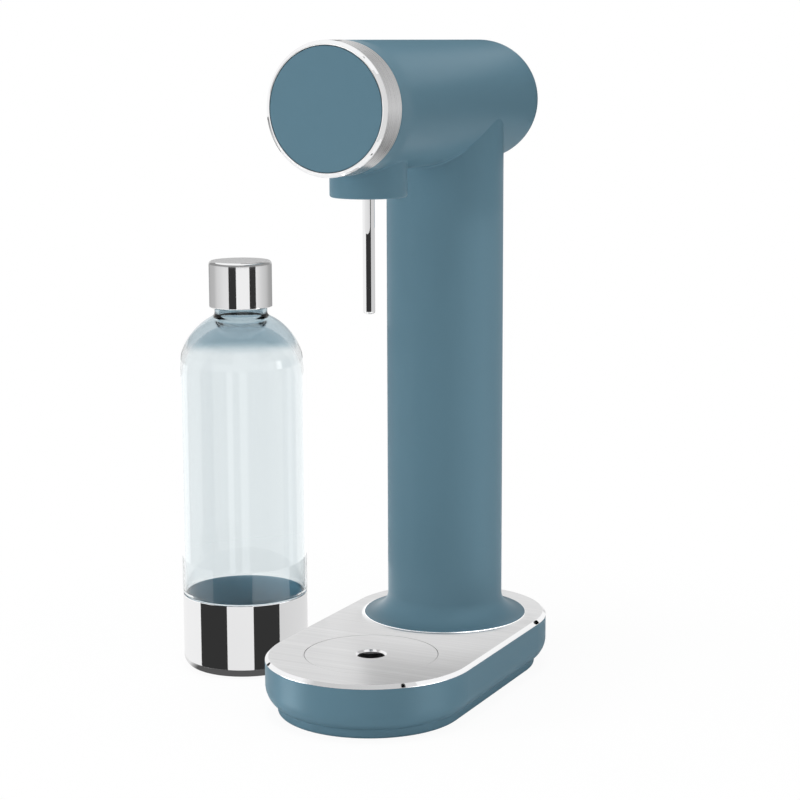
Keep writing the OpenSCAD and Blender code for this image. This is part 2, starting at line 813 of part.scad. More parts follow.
module cam() {
    color("#9a9da1") difference() {
        forward(column_y + cam_t / 2) difference() {
            linear_extrude(cam_t) union() {
                circle(r = cam_r);
                polygon(concat([[0, 0], [0, -cam_r]],
                    [for (i = [0:cam_steps]) cam_point((knob_turn + cam_extra) * i / cam_steps)]));
            }
            translate([0, 0, -overrun]) cylinder(r = shaft_r, h = cam_t + overrun * 2);
        }
        at_column() translate([-cam_r * 2, 0, head_z]) rotate([0, 90, 0])
            cylinder(r = cam_pin_r, h = cam_r * 4);
    }
}

module cam_pin() {
    color("#6f7376") at_column() translate([-cam_r, 0, head_z]) rotate([0, 90, 0])
        cylinder(r = cam_pin_r, h = cam_r * 2);
}

// Plunger

module plunger() {
    color("#c0a060") at_column() {
        translate([0, 0, plunger_head_z]) cylinder(r = plunger_head_r, h = plunger_head_t);
        translate([0, 0, plunger_tip]) cylinder(r = plunger_stem_r, h = plunger_head_z - plunger_tip);
    }
}

plunger_path = [for (i = [0:plunger_turns * 16]) let (
        a = i * 360 / 16,
        low = plunger_wire_r + touch_gap,
        rise = plunger_head_z - pocket_z - low * 2)
    [plunger_coil_r * cos(a), plunger_coil_r * sin(a), low + rise * i / (plunger_turns * 16)]];

module plunger_spring() {
    color("#9a9da1") translate([0, column_y, pocket_z]) wire(plunger_path, plunger_wire_r, [0, 0, 1], 6);
}

echo("least gap of the return spring", least_gap(return_path, return_wire_r, 9));
echo("least gap of the plunger spring", least_gap(plunger_path, plunger_wire_r, 9));

// Gas cylinder

module valve_gasket() {
    color("#303336") at_column() ring(gasket_r, gasket_bore, valve_top + touch_gap, gasket_t);
}

// Half outline of the cylinder's skin, taken in by a wall
function gas_outline(in) = let (r = gas_r - in, foot = gas_foot - in,
        shoulder_z = neck_top - gas_neck_h - gas_shoulder_h,
        neck = gas_neck_r - in, top = neck_top - gas_neck_h) concat(
    [[0, gas_low + in]],
    arc(r - foot, gas_low + in + foot, foot, -90, 0, 8),
    [for (i = [0:12]) let (a = i * 90 / 12)
        [neck + (r - neck) * cos(a), shoulder_z + (gas_shoulder_h - in) * sin(a)]]);

module gas_cylinder() {
    color("#7c8286") at_column() rotate_extrude() difference() {
        union() {
            polygon(concat(gas_outline(0), [[0, neck_top - gas_neck_h]]));
            translate([0, neck_top - gas_neck_h - gas_wall]) square([gas_neck_r, gas_neck_h + gas_wall]);
        }
        polygon(concat(gas_outline(gas_wall), [[0, neck_top - gas_neck_h - gas_wall]]));
        translate([0, neck_top - gas_neck_h - gas_wall * 2])
            square([valve_stub_r, gas_neck_h + gas_wall * 2 + overrun]);
    }
}

module cylinder_valve() {
    color("#b08d4c") at_column() difference() {
        union() {
            translate([0, 0, valve_top - thread_h]) cylinder(r = thread_r, h = thread_h);
            translate([0, 0, neck_top]) cylinder(r = valve_hex_r, h = valve_hex_h, $fn = 6);
            translate([0, 0, neck_top - valve_stub_h]) cylinder(r = valve_stub_r, h = valve_stub_h);
        }
        translate([0, 0, valve_top - valve_cup_h]) cylinder(r = valve_cup_r, h = valve_cup_h + overrun);
        translate([0, 0, pin_top - pin_l - plunger_travel - pin_rise])
            cylinder(r = pin_r + running_fit, h = pin_l + overrun);
        translate([0, 0, neck_top - valve_stub_h - overrun])
            cylinder(r = pin_r / 2, h = valve_top - neck_top + valve_stub_h);
    }
}

module valve_pin() {
    color("#d0b070") at_column() translate([0, 0, pin_top - pin_l]) cylinder(r = pin_r, h = pin_l);
}

module cylinder_guides() {
    color("#2b2e31") at_column() {
        ring(column_bore, gas_r + guide_gap, guide_low_z, guide_h);
        ring(column_bore, gas_r + guide_gap, guide_top_z, guide_h);
    }
}

// Base

// Outer outline of the painted wall, taken in by a wall
function wall_outline(in) = let (c = base_r - wall_curve, r = wall_curve - in,
        low = -asin(min(1, (curve_z - wall_low) / r))) concat(
    [[0, wall_low]], arc(c, curve_z, r, low, 0, 14));

module base_shell() {
    color(paint) difference() {
        union() {
            difference() {
                long_turn() polygon(concat(wall_outline(0), [[base_r, plate_low], [0, plate_low]]));
                long_turn()
                    polygon(concat(wall_outline(base_wall), [[base_r - base_wall, deck_z], [0, deck_z]]));
                long_plate(plinth_r, wall_low - overrun, weight_top - wall_low + overrun);
            }
            for (p = base_screw_spots) translate([p.x, p.y, weight_top])
                cylinder(r = base_boss_r, h = deck_z - weight_top + overrun);
        }
        for (p = base_screw_spots) translate([p.x, p.y, 0])
            cylinder(d = big_screw_d, h = base_screw_z + base_screw_l);
        at_column() cylinder(r = column_r, h = base_h);
        at_nozzle() cylinder(r = well_bore, h = base_h);
        at_nozzle() translate([0, 0, plate_low - ledge_depth]) cylinder(r = well_r, h = base_h);
    }
}

module plinth() {
    color(paint) difference() {
        long_turn() polygon(concat(
            [[0, pad_show]],
            arc(plinth_r - plinth_round, pad_show + plinth_round, plinth_round, -90, 0, 8),
            [[plinth_r, weight_top], [0, weight_top]]));
        long_plate(plinth_r - base_wall, floor_z, weight_h + overrun);
        at_column() cylinder(r = gas_way, h = base_h);
        for (p = pad_spots) translate([p.x, p.y, 0]) cylinder(r = pad_r, h = pad_t);
        screw_ways();
    }
}

// Holes for the screws that come up through the plinth and the weight
module screw_ways() {
    for (p = base_screw_spots) translate([p.x, p.y, 0]) {
        cylinder(d = big_screw_d, h = base_h);
        cylinder(d = big_screw_d * screw_head_share, h = base_screw_z);
    }
    at_column() for (a = [45:90:315]) rotate(a) translate([column_boss_at, 0, 0]) {
        cylinder(d = column_screw_d, h = base_h);
        cylinder(d = column_screw_d * screw_head_share, h = base_screw_z);
    }
}

module top_plate() {
    color(steel) difference() {
        long_turn() polygon([[0, plate_low], [base_r, plate_low], [base_r, plate_low + plate_edge],
            [base_r - plate_bevel, base_h], [0, base_h]]);
        at_column() cylinder(r = column_r, h = base_h + overrun);
        at_nozzle() cylinder(r = well_r, h = base_h + overrun);
    }
}

module base_weight() {
    color("#4a4c4e") difference() {
        long_plate(weight_r, floor_z, weight_h);
        at_column() cylinder(r = gas_way, h = base_h);
        screw_ways();
    }
}

module base_screws() {
    color(steel) for (p = base_screw_spots)
        translate([p.x, p.y, base_screw_z]) mirror([0, 0, 1]) screw(base_screw_l, big_screw_d);
}

module column_screws() {
    color(steel) at_column() for (a = [45:90:315])
        rotate(a) translate([column_boss_at, 0, base_screw_z]) mirror([0, 0, 1])
            screw(column_screw_l, column_screw_d);
}

module foot_pads() {
    color("#202224") for (p = pad_spots) translate([p.x, p.y, 0]) cylinder(r = pad_r, h = pad_t);
}

// Drip parts

module drip_tray() {
    color("#2b2e31") at_nozzle() {
        difference() {
            translate([0, 0, tray_z]) cylinder(r = tray_r, h = rim_z + rim_t - tray_z);
            translate([0, 0, tray_z + tray_wall]) cylinder(r = tray_r - tray_wall, h = base_h);
        }
        ring(drip_r, tray_r - tray_wall, rim_z, rim_t);
    }
}

module drip_plate() {
    color(steel) at_nozzle() difference() {
        translate([0, 0, drip_z]) cylinder(r = drip_r, h = base_h - drip_z);
        translate([0, 0, drip_z - overrun]) cylinder(d = finger_hole, h = base_h);
        translate([0, 0, base_h - finger_bevel])
            cylinder(r1 = finger_hole / 2, r2 = finger_hole / 2 + finger_bevel * 2, h = finger_bevel * 2);
    }
}

// Bottle

// Half outline of the bottle's skin, taken in by a wall
function vessel_outline(in) = let (r = bottle_r - in, low_r = seat_r - in,
        reach = in == 0 ? neck_r : neck_bore, round_r = vessel_round - in) concat(
    [[0, vessel_z + in]],
    arc(low_r - round_r, vessel_z + in + round_r, round_r, -90, 0, 10),
    [[low_r, sleeve_h + body_gap + in / 2], [r, sleeve_h + body_gap + in / 2]],
    arc(0, shoulder_z, r, 0, acos(reach / r), 20));

module bottle_vessel() {
    color("#dfe9ee", 0.45) at_bottle() rotate_extrude() difference() {
        union() {
            polygon(concat(vessel_outline(0), [[neck_r, finish_z], [finish_r, finish_z],
                [finish_r, mouth_z], [0, mouth_z]]));
            for (i = [0, 1]) translate([0, finish_z + rib_pitch * (i + 1)])
                polygon([[0, -rib_h / 2], [finish_r, -rib_h / 2], [finish_r + rib_w, 0],
                    [finish_r, rib_h / 2], [0, rib_h / 2]]);
        }
        polygon(concat(vessel_outline(bottle_wall),
                       [[neck_bore, mouth_z + overrun], [0, mouth_z + overrun]]));
    }
}

module bottle_sleeve() {
    color(steel) at_bottle() rotate_extrude() difference() {
        polygon(concat([[0, foot_show]],
            arc(bottle_r - sleeve_round, foot_show + sleeve_round, sleeve_round, -90, 0, 10),
            [[bottle_r, sleeve_h], [0, sleeve_h]]));
        polygon(concat([[0, foot_show + sleeve_wall]],
            arc(bottle_r - sleeve_round, foot_show + sleeve_round, sleeve_round - sleeve_wall, -90, 0, 10),
            [[cup_r, sleeve_h + overrun], [0, sleeve_h + overrun]]));
        translate([0, -overrun]) square([foot_r, sleeve_h]);
    }
}

module bottle_cup() {
    cup_round = sleeve_round - sleeve_wall;
    color(paint) at_bottle() rotate_extrude() difference() {
        polygon(concat([[0, foot_show + sleeve_wall]],
            arc(bottle_r - sleeve_round, foot_show + sleeve_round, cup_round, -90, 0, 10),
            [[cup_r, sleeve_h], [0, sleeve_h]]));
        polygon(concat([[0, vessel_z]],
            arc(seat_r - vessel_round, vessel_z + vessel_round, vessel_round, -90, 0, 10),
            [[seat_r, sleeve_h + overrun], [0, sleeve_h + overrun]]));
        square([foot_r, foot_t]);
    }
}

module bottle_foot() {
    color("#202224") at_bottle() ring(foot_r, foot_bore, 0, foot_t);
}

module cap_shell() {
    color(steel) at_bottle() rotate_extrude() difference() {
        polygon(concat([[0, cap_low], [cap_r, cap_low]],
            arc(cap_r - cap_round, cap_top - cap_round, cap_round, 0, 90, 6),
            [[0, cap_top]]));
        polygon([[0, cap_low - overrun], [liner_r, cap_low - overrun], [liner_r, liner_top - cap_round],
            [liner_r - cap_round, liner_top], [0, liner_top]]);
    }
}

module cap_liner() {
    color("#2b2e31") at_bottle() rotate_extrude() difference() {
        polygon([[0, cap_low + cap_shell_t], [liner_r, cap_low + cap_shell_t],
                 [liner_r, liner_top - cap_round],
            [liner_r - cap_round, liner_top], [0, liner_top]]);
        square([liner_bore, liner_top - liner_t]);
    }
}

module cap_seal() {
    color("#e4e5e2") at_bottle() translate([0, 0, mouth_z + touch_gap]) cylinder(r = seal_r, h = seal_t);
}

housing();
column_foot();
nozzle_collar();
front_plate();
front_bush();
front_plate_screws();
chassis();
pedestal_bushes();
chassis_screws();
valve_block();
valve_block_screws();
plunger_seal();
safety_valve();
gas_pipe();
pipe_nuts();
nozzle_body();
nozzle_screws();
relief_valve();
nozzle_seal();
bottle_coupling();
carbonation_tube();
return_spring();
knob_ring();
knob_face();
knob_hub();
knob_screw();
knob_shaft();
cam();
cam_pin();
plunger();
plunger_spring();
valve_gasket();
gas_cylinder();
cylinder_valve();
valve_pin();
cylinder_guides();
base_shell();
plinth();
top_plate();
base_weight();
base_screws();
column_screws();
foot_pads();
drip_tray();
drip_plate();
bottle_vessel();
bottle_sleeve();
bottle_cup();
bottle_foot();
cap_shell();
cap_liner();
cap_seal();
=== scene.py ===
import json
import math

import bmesh
import bpy
import numpy as np
from mathutils import Euler, Matrix, Vector


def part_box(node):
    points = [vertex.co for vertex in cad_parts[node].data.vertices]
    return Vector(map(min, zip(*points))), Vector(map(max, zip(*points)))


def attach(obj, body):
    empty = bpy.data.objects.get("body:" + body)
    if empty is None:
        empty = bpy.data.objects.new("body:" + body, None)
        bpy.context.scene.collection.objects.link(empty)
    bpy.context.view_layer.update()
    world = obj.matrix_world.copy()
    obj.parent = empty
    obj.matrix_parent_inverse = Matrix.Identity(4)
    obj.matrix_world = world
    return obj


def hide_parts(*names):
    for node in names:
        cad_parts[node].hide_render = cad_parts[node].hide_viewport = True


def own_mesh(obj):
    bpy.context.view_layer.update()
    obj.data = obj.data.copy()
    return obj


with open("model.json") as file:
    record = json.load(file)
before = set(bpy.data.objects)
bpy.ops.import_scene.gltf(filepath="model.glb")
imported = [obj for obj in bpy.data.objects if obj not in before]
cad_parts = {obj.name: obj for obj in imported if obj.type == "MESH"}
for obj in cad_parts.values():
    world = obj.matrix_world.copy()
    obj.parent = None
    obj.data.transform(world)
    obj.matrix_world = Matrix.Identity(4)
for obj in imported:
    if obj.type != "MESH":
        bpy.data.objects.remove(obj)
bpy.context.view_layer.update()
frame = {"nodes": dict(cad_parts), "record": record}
mm = 0.001


def addObject(name, data):
    item = bpy.data.objects.new(name, data)
    bpy.context.scene.collection.objects.link(item)
    return item


# Camera

photoView = {
    "place": (0.58527, -1.22926, 0.43015),
    "tilt": 80.2457,            # degrees up from looking straight down
    "turn": 25.738,
    "roll": -0.187,
    "lens": 93.767,
    "sensor": 36.0,
}


def addCamera(v):
    lens = bpy.data.cameras.new("photoCamera")
    lens.lens = v["lens"]
    lens.sensor_width = v["sensor"]
    lens.clip_start = 0.01
    lens.clip_end = 50
    eye = addObject("photoCamera", lens)
    eye.location = v["place"]
    aim = Euler((math.radians(v["tilt"]), 0, math.radians(v["turn"]))).to_matrix()
    eye.rotation_euler = (aim @ Matrix.Rotation(math.radians(v["roll"]), 3, "Z")).to_euler()
    bpy.context.scene.camera = eye


addCamera(photoView)
print("camera placed")


# Shader helpers

def emptyTree(owner, outputKind):
    owner.use_nodes = True
    tree = owner.node_tree
    tree.nodes.clear()
    return tree, tree.nodes.new(outputKind)


def newMaterial(name):
    mat = bpy.data.materials.new(name)
    tree, out = emptyTree(mat, "ShaderNodeOutputMaterial")
    shader = tree.nodes.new("ShaderNodeBsdfPrincipled")
    tree.links.new(shader.outputs["BSDF"], out.inputs["Surface"])
    return mat, tree, shader


def newGroup(name, values):
    # the value tells the kind of socket: None is a vector and a tuple is a colour
    tree = bpy.data.node_groups.new(name, "ShaderNodeTree")
    for label, value in values.items():
        kind = "Vector" if value is None else "Color" if isinstance(value, tuple) else "Float"
        socket = tree.interface.new_socket(name=label, in_out="INPUT", socket_type="NodeSocket" + kind)
        if value is not None:
            socket.default_value = value
    for label, kind in (("Color", "Color"), ("Roughness", "Float"), ("Height", "Float")):
        tree.interface.new_socket(name=label, in_out="OUTPUT", socket_type="NodeSocket" + kind)
    return tree, tree.nodes.new("NodeGroupInput"), tree.nodes.new("NodeGroupOutput")


def plugGroup(tree, shader, group, vector, values, strength, distance):
    # a shared effect feeds colour, roughness and bump
    node = tree.nodes.new("ShaderNodeGroup")
    node.node_tree = group
    for label, value in values.items():
        node.inputs[label].default_value = value
    bump = tree.nodes.new("ShaderNodeBump")
    bump.inputs["Strength"].default_value = strength
    bump.inputs["Distance"].default_value = distance
    for source, target in (
        (vector, node.inputs["Vector"]),
        (node.outputs["Color"], shader.inputs["Base Color"]),
        (node.outputs["Roughness"], shader.inputs["Roughness"]),
        (node.outputs["Height"], bump.inputs["Height"]),
        (bump.outputs["Normal"], shader.inputs["Normal"]),
    ):
        tree.links.new(source, target)


def mathNode(tree, operation, a, b=None):
    node = tree.nodes.new("ShaderNodeMath")
    node.operation = operation
    for socket, value in zip(node.inputs, (a, b)):
        if value is None:
            continue
        if isinstance(value, (int, float)):
            socket.default_value = value
        else:
            tree.links.new(value, socket)
    return node.outputs[0]


def blend(tree, low, high, factor):
    span = mathNode(tree, "SUBTRACT", high, low)
    return mathNode(tree, "ADD", low, mathNode(tree, "MULTIPLY", span, factor))


def scaledColour(tree, colour, gain):
    node = tree.nodes.new("ShaderNodeVectorMath")
    node.operation = "SCALE"
    tree.links.new(colour, node.inputs[0])
    tree.links.new(gain, node.inputs["Scale"])
    return node.outputs[0]


def splitPoint(tree, point):
    node = tree.nodes.new("ShaderNodeSeparateXYZ")
    tree.links.new(point, node.inputs[0])
    return node.outputs


def joinPoint(tree, x, y, z):
    node = tree.nodes.new("ShaderNodeCombineXYZ")
    for source, socket in zip((x, y, z), node.inputs):
        tree.links.new(source, socket)
    return node.outputs[0]


def mixSurfaces(tree, factor, first, second):
    node = tree.nodes.new("ShaderNodeMixShader")
    for source, socket in zip((factor, first, second), node.inputs):
        tree.links.new(source, socket)
    out = [n for n in tree.nodes if n.type.startswith("OUTPUT")][0]
    tree.links.new(node.outputs[0], out.inputs["Surface"])


def rangeNode(tree, value, low, high, toLow, toHigh, smooth=False):
    node = tree.nodes.new("ShaderNodeMapRange")
    if smooth:
        node.interpolation_type = "SMOOTHSTEP"
    tree.links.new(value, node.inputs["Value"])
    for label, number in (("From Min", low), ("From Max", high), ("To Min", toLow), ("To Max", toHigh)):
        node.inputs[label].default_value = number
    return node.outputs["Result"]


def noiseNode(tree, vector, scale, detail=2.0, roughness=0.5):
    node = tree.nodes.new("ShaderNodeTexNoise")
    node.inputs["Scale"].default_value = scale
    node.inputs["Detail"].default_value = detail
    node.inputs["Roughness"].default_value = roughness
    tree.links.new(vector, node.inputs["Vector"])
    return node.outputs["Fac"]


def mixColours(tree, factor, first, second):
    node = tree.nodes.new("ShaderNodeMix")
    node.data_type = "RGBA"
    for socket, value in ((node.inputs["Factor"], factor), (node.inputs["A"], first), (node.inputs["B"], second)):
        if isinstance(value, (int, float, tuple)):
            socket.default_value = value
        else:
            tree.links.new(value, socket)
    return node.outputs["Result"]


def objectPoint(tree):
    return tree.nodes.new("ShaderNodeTexCoord").outputs["Object"]


# Shared effects

def brushGroup():
    tree, inp, out = newGroup("brushStrokes", {
        "Vector": None, "Along": 6.0, "Across": 900.0, "Light": (0.7, 0.7, 0.7, 1), "Dark": (0.6, 0.6, 0.6, 1),
        "Smooth": 0.2, "Rough": 0.35,
    })
    x, y, z = splitPoint(tree, inp.outputs["Vector"])
    along, across = inp.outputs["Along"], inp.outputs["Across"]
    strokes = joinPoint(tree, mathNode(tree, "MULTIPLY", x, along), mathNode(tree, "MULTIPLY", y, across),
                        mathNode(tree, "MULTIPLY", z, across))
    fine = noiseNode(tree, strokes, 1.0, 3.0, 0.6)
    broad = noiseNode(tree, strokes, 0.12, 2.0, 0.5)
    both = mathNode(tree, "ADD", mathNode(tree, "MULTIPLY", fine, 0.65), mathNode(tree, "MULTIPLY", broad, 0.35))
    mask = rangeNode(tree, both, 0.3, 0.7, 0.0, 1.0)
    tree.links.new(mixColours(tree, mask, inp.outputs["Dark"], inp.outputs["Light"]), out.inputs["Color"])
    tree.links.new(blend(tree, inp.outputs["Smooth"], inp.outputs["Rough"], mask), out.inputs["Roughness"])
    tree.links.new(both, out.inputs["Height"])
    return tree


def paintGroup():
    tree, inp, out = newGroup("satinSpray", {
        "Vector": None, "Colour": (0.1, 0.2, 0.25, 1), "Mottle": 0.03, "Smooth": 0.4, "Rough": 0.5})
    cloud = noiseNode(tree, inp.outputs["Vector"], 18.0, 3.0, 0.55)
    grain = noiseNode(tree, inp.outputs["Vector"], 2600.0, 2.0, 0.6)
    peel = noiseNode(tree, inp.outputs["Vector"], 650.0, 1.0, 0.4)
    shift = mathNode(tree, "MULTIPLY", mathNode(tree, "SUBTRACT", cloud, 0.5), inp.outputs["Mottle"])
    shift = mathNode(tree, "ADD", shift, mathNode(tree, "MULTIPLY", mathNode(tree, "SUBTRACT", grain, 0.5), 0.05))
    gain = mathNode(tree, "ADD", shift, 1.0)
    tree.links.new(scaledColour(tree, inp.outputs["Colour"], gain), out.inputs["Color"])
    tree.links.new(blend(tree, inp.outputs["Smooth"], inp.outputs["Rough"], cloud), out.inputs["Roughness"])
    tree.links.new(mathNode(tree, "ADD", peel, mathNode(tree, "MULTIPLY", grain, 0.35)), out.inputs["Height"])
    return tree


def mouldGroup():
    tree, inp, out = newGroup("mouldGrain", {
        "Vector": None, "Colour": (0.03, 0.03, 0.03, 1), "Grain": 1500.0, "Smooth": 0.4, "Rough": 0.6})
    grain = tree.nodes.new("ShaderNodeTexVoronoi")
    tree.links.new(inp.outputs["Vector"], grain.inputs["Vector"])
    tree.links.new(inp.outputs["Grain"], grain.inputs["Scale"])
    cloud = noiseNode(tree, inp.outputs["Vector"], 40.0, 3.0, 0.5)
    gain = rangeNode(tree, cloud, 0.3, 0.7, 0.9, 1.1)
    tree.links.new(scaledColour(tree, inp.outputs["Colour"], gain), out.inputs["Color"])
    tree.links.new(blend(tree, inp.outputs["Smooth"], inp.outputs["Rough"], cloud), out.inputs["Roughness"])
    tree.links.new(grain.outputs["Distance"], out.inputs["Height"])
    return tree


brushStrokes = brushGroup()
satinSpray = paintGroup()
mouldGrain = mouldGroup()


# Finishes

paintLook = {"colour": (0.106, 0.199, 0.255, 1), "mottle": 0.03, "smooth": 0.34, "rough": 0.4, "specular": 0.07}
brushLook = {"light": (0.78, 0.78, 0.783, 1), "dark": (0.63, 0.63, 0.633, 1), "smooth": 0.32, "rough": 0.42}
ringLook = {"light": (0.78, 0.78, 0.785, 1), "dark": (0.64, 0.64, 0.645, 1), "smooth": 0.22, "rough": 0.34}
# the cup's own blue, drawn lighter than the body's paint: painted light where the bottle and sleeve shade the inside
# of the cup
cupPaintedLightLook = {"colour": (0.18, 0.345, 0.45, 1), "mottle": 0.02, "smooth": 0.14, "rough": 0.2, "specular": 0.3}
capLook = {"light": (0.78, 0.78, 0.785, 1), "dark": (0.7, 0.7, 0.705, 1), "smooth": 0.25, "rough": 0.32}
polishLook = {"colour": (0.93, 0.93, 0.935, 1), "smooth": 0.03, "rough": 0.07}
holeLook = {"colour": (0.93, 0.93, 0.935, 1), "smooth": 0.12, "rough": 0.18}


def satinPaint(name, look):
    mat, tree, shader = newMaterial(name)
    plugGroup(tree, shader, satinSpray, objectPoint(tree), {
        "Colour": look["colour"], "Mottle": look["mottle"], "Smooth": look["smooth"], "Rough": look["rough"],
    }, 0.08, 0.00006)
    shader.inputs["Specular IOR Level"].default_value = look["specular"]
    return mat


def brushedSteel(name, look, along, across, centre=None):
    # centre: x and z of the axis that the strokes run round, or None where they run along X
    mat, tree, shader = newMaterial(name)
    point = objectPoint(tree)
    if centre:
        x, y, z = splitPoint(tree, point)
        u = mathNode(tree, "SUBTRACT", x, centre[0])
        v = mathNode(tree, "SUBTRACT", z, centre[1])
        squares = mathNode(tree, "ADD", mathNode(tree, "MULTIPLY", u, u), mathNode(tree, "MULTIPLY", v, v))
        point = joinPoint(tree, mathNode(tree, "ARCTAN2", v, u), mathNode(tree, "SQRT", squares), y)
    plugGroup(tree, shader, brushStrokes, point, {
        "Along": along, "Across": across, "Light": look["light"], "Dark": look["dark"],
        "Smooth": look["smooth"], "Rough": look["rough"],
    }, 0.1, 0.00004)
    shader.inputs["Metallic"].default_value = 1.0
    return mat


def polishedSteel(name, look):
    mat, tree, shader = newMaterial(name)
    point = objectPoint(tree)
    haze = noiseNode(tree, point, 35.0, 3.0, 0.6)
    tree.links.new(rangeNode(tree, haze, 0.3, 0.7, look["smooth"], look["rough"]), shader.inputs["Roughness"])
    shade = rangeNode(tree, noiseNode(tree, point, 12.0, 2.0), 0.3, 0.7, 0.0, 1.0)
    dim = tuple(c * 0.97 for c in look["colour"][:3]) + (1,)
    tree.links.new(mixColours(tree, shade, dim, look["colour"]), shader.inputs["Base Color"])
    shader.inputs["Metallic"].default_value = 1.0
    return mat


def mouldedPart(name, colour, grain=1500.0, smooth=0.4, rough=0.6, metal=0.0, bump=0.1):
    mat, tree, shader = newMaterial(name)
    values = {"Colour": colour, "Grain": grain, "Smooth": smooth, "Rough": rough}
    plugGroup(tree, shader, mouldGrain, objectPoint(tree), values, bump, 0.00008)
    shader.inputs["Metallic"].default_value = metal
    return mat


clearLook = {
    "thin": (0.86, 0.897, 0.908, 1), "thick": (0.882, 0.915, 0.926, 1), "haze": 0.02, "ior": 1.45,
    "neck": (0.5, 0.6, 0.65, 1), "neckLow": 0.223, "neckHigh": 0.231, "shadow": (1, 1, 1, 1),
}


def clearPlastic(name, look):
    mat, tree, shader = newMaterial(name)
    point = objectPoint(tree)
    flow = noiseNode(tree, point, 9.0, 2.0)
    # the shoulder and neck are thicker, so they look deeper in colour
    rise = rangeNode(tree, splitPoint(tree, point)["Z"], look["neckLow"], look["neckHigh"], 0.0, 1.0, True)
    body = mixColours(tree, flow, look["thin"], look["thick"])
    tree.links.new(mixColours(tree, rise, body, look["neck"]), shader.inputs["Base Color"])
    tree.links.new(rangeNode(tree, flow, 0.3, 0.7, 0.0, look["haze"]), shader.inputs["Roughness"])
    shader.inputs["IOR"].default_value = look["ior"]
    shader.inputs["Transmission Weight"].default_value = 1.0
    # lamps reach what stands behind the plastic
    path = tree.nodes.new("ShaderNodeLightPath")
    passing = tree.nodes.new("ShaderNodeBsdfTransparent")
    passing.inputs["Color"].default_value = look["shadow"]
    mixSurfaces(tree, path.outputs["Is Shadow Ray"], shader.outputs[0], passing.outputs[0])
    return mat


knobAxis = (0.0, 0.3905)       # x and z of the line that the ring's strokes run round
paint = satinPaint("satinBluePaint", paintLook)
plateSteel = brushedSteel("plateSteel", brushLook, 9.0, 900.0)
ringSteel = brushedSteel("ringSteel", ringLook, 0.8, 1700.0, knobAxis)
polish = polishedSteel("polishedSteel", polishLook)
holeSteel = polishedSteel("holeSteel", holeLook)
darkPlastic = mouldedPart("darkPlastic", (0.028, 0.03, 0.033, 1))
rubber = mouldedPart("softRubber", (0.02, 0.02, 0.022, 1), 900.0, 0.65, 0.85)
paleSeal = mouldedPart("paleSeal", (0.75, 0.76, 0.73, 1), 700.0, 0.5, 0.6)
brass = mouldedPart("turnedBrass", (0.6, 0.42, 0.18, 1), 500.0, 0.25, 0.35, 1.0, 0.03)
aluminium = mouldedPart("satinAluminium", (0.6, 0.61, 0.63, 1), 800.0, 0.35, 0.45, 1.0, 0.03)
zincSteel = mouldedPart("zincSteel", (0.55, 0.55, 0.57, 1), 600.0, 0.3, 0.4, 1.0, 0.03)
castIron = mouldedPart("castIron", (0.06, 0.06, 0.063, 1), 500.0, 0.6, 0.8, 0.4, 0.3)
clear = clearPlastic("clearPlastic", clearLook)
trayPlastic = mouldedPart("trayPlastic", (0.5, 0.5, 0.505, 1))
cupPaintWithPaintedLight = satinPaint("glossBluePaintWithPaintedLight", cupPaintedLightLook)
capTopSteel = brushedSteel("capTopSteel", capLook, 3.0, 1200.0)

slotFinish = {
    "paint": paint, "brushed_steel": plateSteel, "polished_steel": polish, "clear_plastic": clear,
    "dark_plastic": darkPlastic, "rubber": rubber, "brass": brass, "aluminium": aluminium,
    "bright_steel": zincSteel, "iron": castIron,
}
for entry in frame["record"]["subparts"]:
    piece = frame["nodes"][entry["node"]]
    piece.data.materials.clear()
    piece.data.materials.append(slotFinish[entry["material_slot"]])
frame["nodes"]["cap_seal"].data.materials[0] = paleSeal
frame["nodes"]["drip_tray"].data.materials[0] = trayPlastic
print("finishes made")


# Mesh helpers

def roundCorners(corners, steps=6):
    # corners: (across, along, radius); every corner with a radius becomes an arc
    result = []
    for i, (a, b, radius) in enumerate(corners):
        if radius <= 0 or i in (0, len(corners) - 1):
            result.append((a, b))
            continue
        here = np.array((a, b))
        back = np.array(corners[i - 1][:2]) - here
        ahead = np.array(corners[i + 1][:2]) - here
        back, ahead = back / np.linalg.norm(back), ahead / np.linalg.norm(ahead)
        half = math.acos(max(-1.0, min(1.0, float(back @ ahead)))) / 2
        middle = back + ahead
        centre = here + middle / np.linalg.norm(middle) * radius / math.sin(half)
        reach = radius / math.tan(half)
        first, last = here + back * reach - centre, here + ahead * reach - centre
        start = math.atan2(first[1], first[0])
        turn = math.atan2(last[1], last[0]) - start
        turn = (turn + math.pi) % (2 * math.pi) - math.pi
        for k in range(steps + 1):
            angle = start + turn * k / steps
            result.append((centre[0] + radius * math.cos(angle), centre[1] + radius * math.sin(angle)))
    return result


def profileNormals(profile):
    # the outside is on the right of the way along the profile
    steps = np.diff(np.array(profile), axis=0)
    weights = np.stack([steps[:, 1], -steps[:, 0]], axis=1)
    total = np.zeros((len(profile), 2))
    total[:-1] += weights
    total[1:] += weights
    return total / np.maximum(np.linalg.norm(total, axis=1), 1e-9)[:, None]


def standing(r, h, cx, cy, angle):
    return (cx + r * math.cos(angle), cy + r * math.sin(angle), h)


def lying(r, h, cx, cz, angle):
    # the profile's height runs forward, to -Y
    return (cx + r * math.cos(angle), -h, cz + r * math.sin(angle))


def roundStations(count, first, second):
    return [(first, second, 2 * math.pi * i / count) for i in range(count)]


def longStations(count, front, rear):
    # half turns round two centres on the Y axis, with straight sides between them
    result = [(0.0, front, -math.pi + math.pi * i / count) for i in range(count + 1)]
    return result + [(0.0, rear, math.pi * i / count) for i in range(count + 1)]


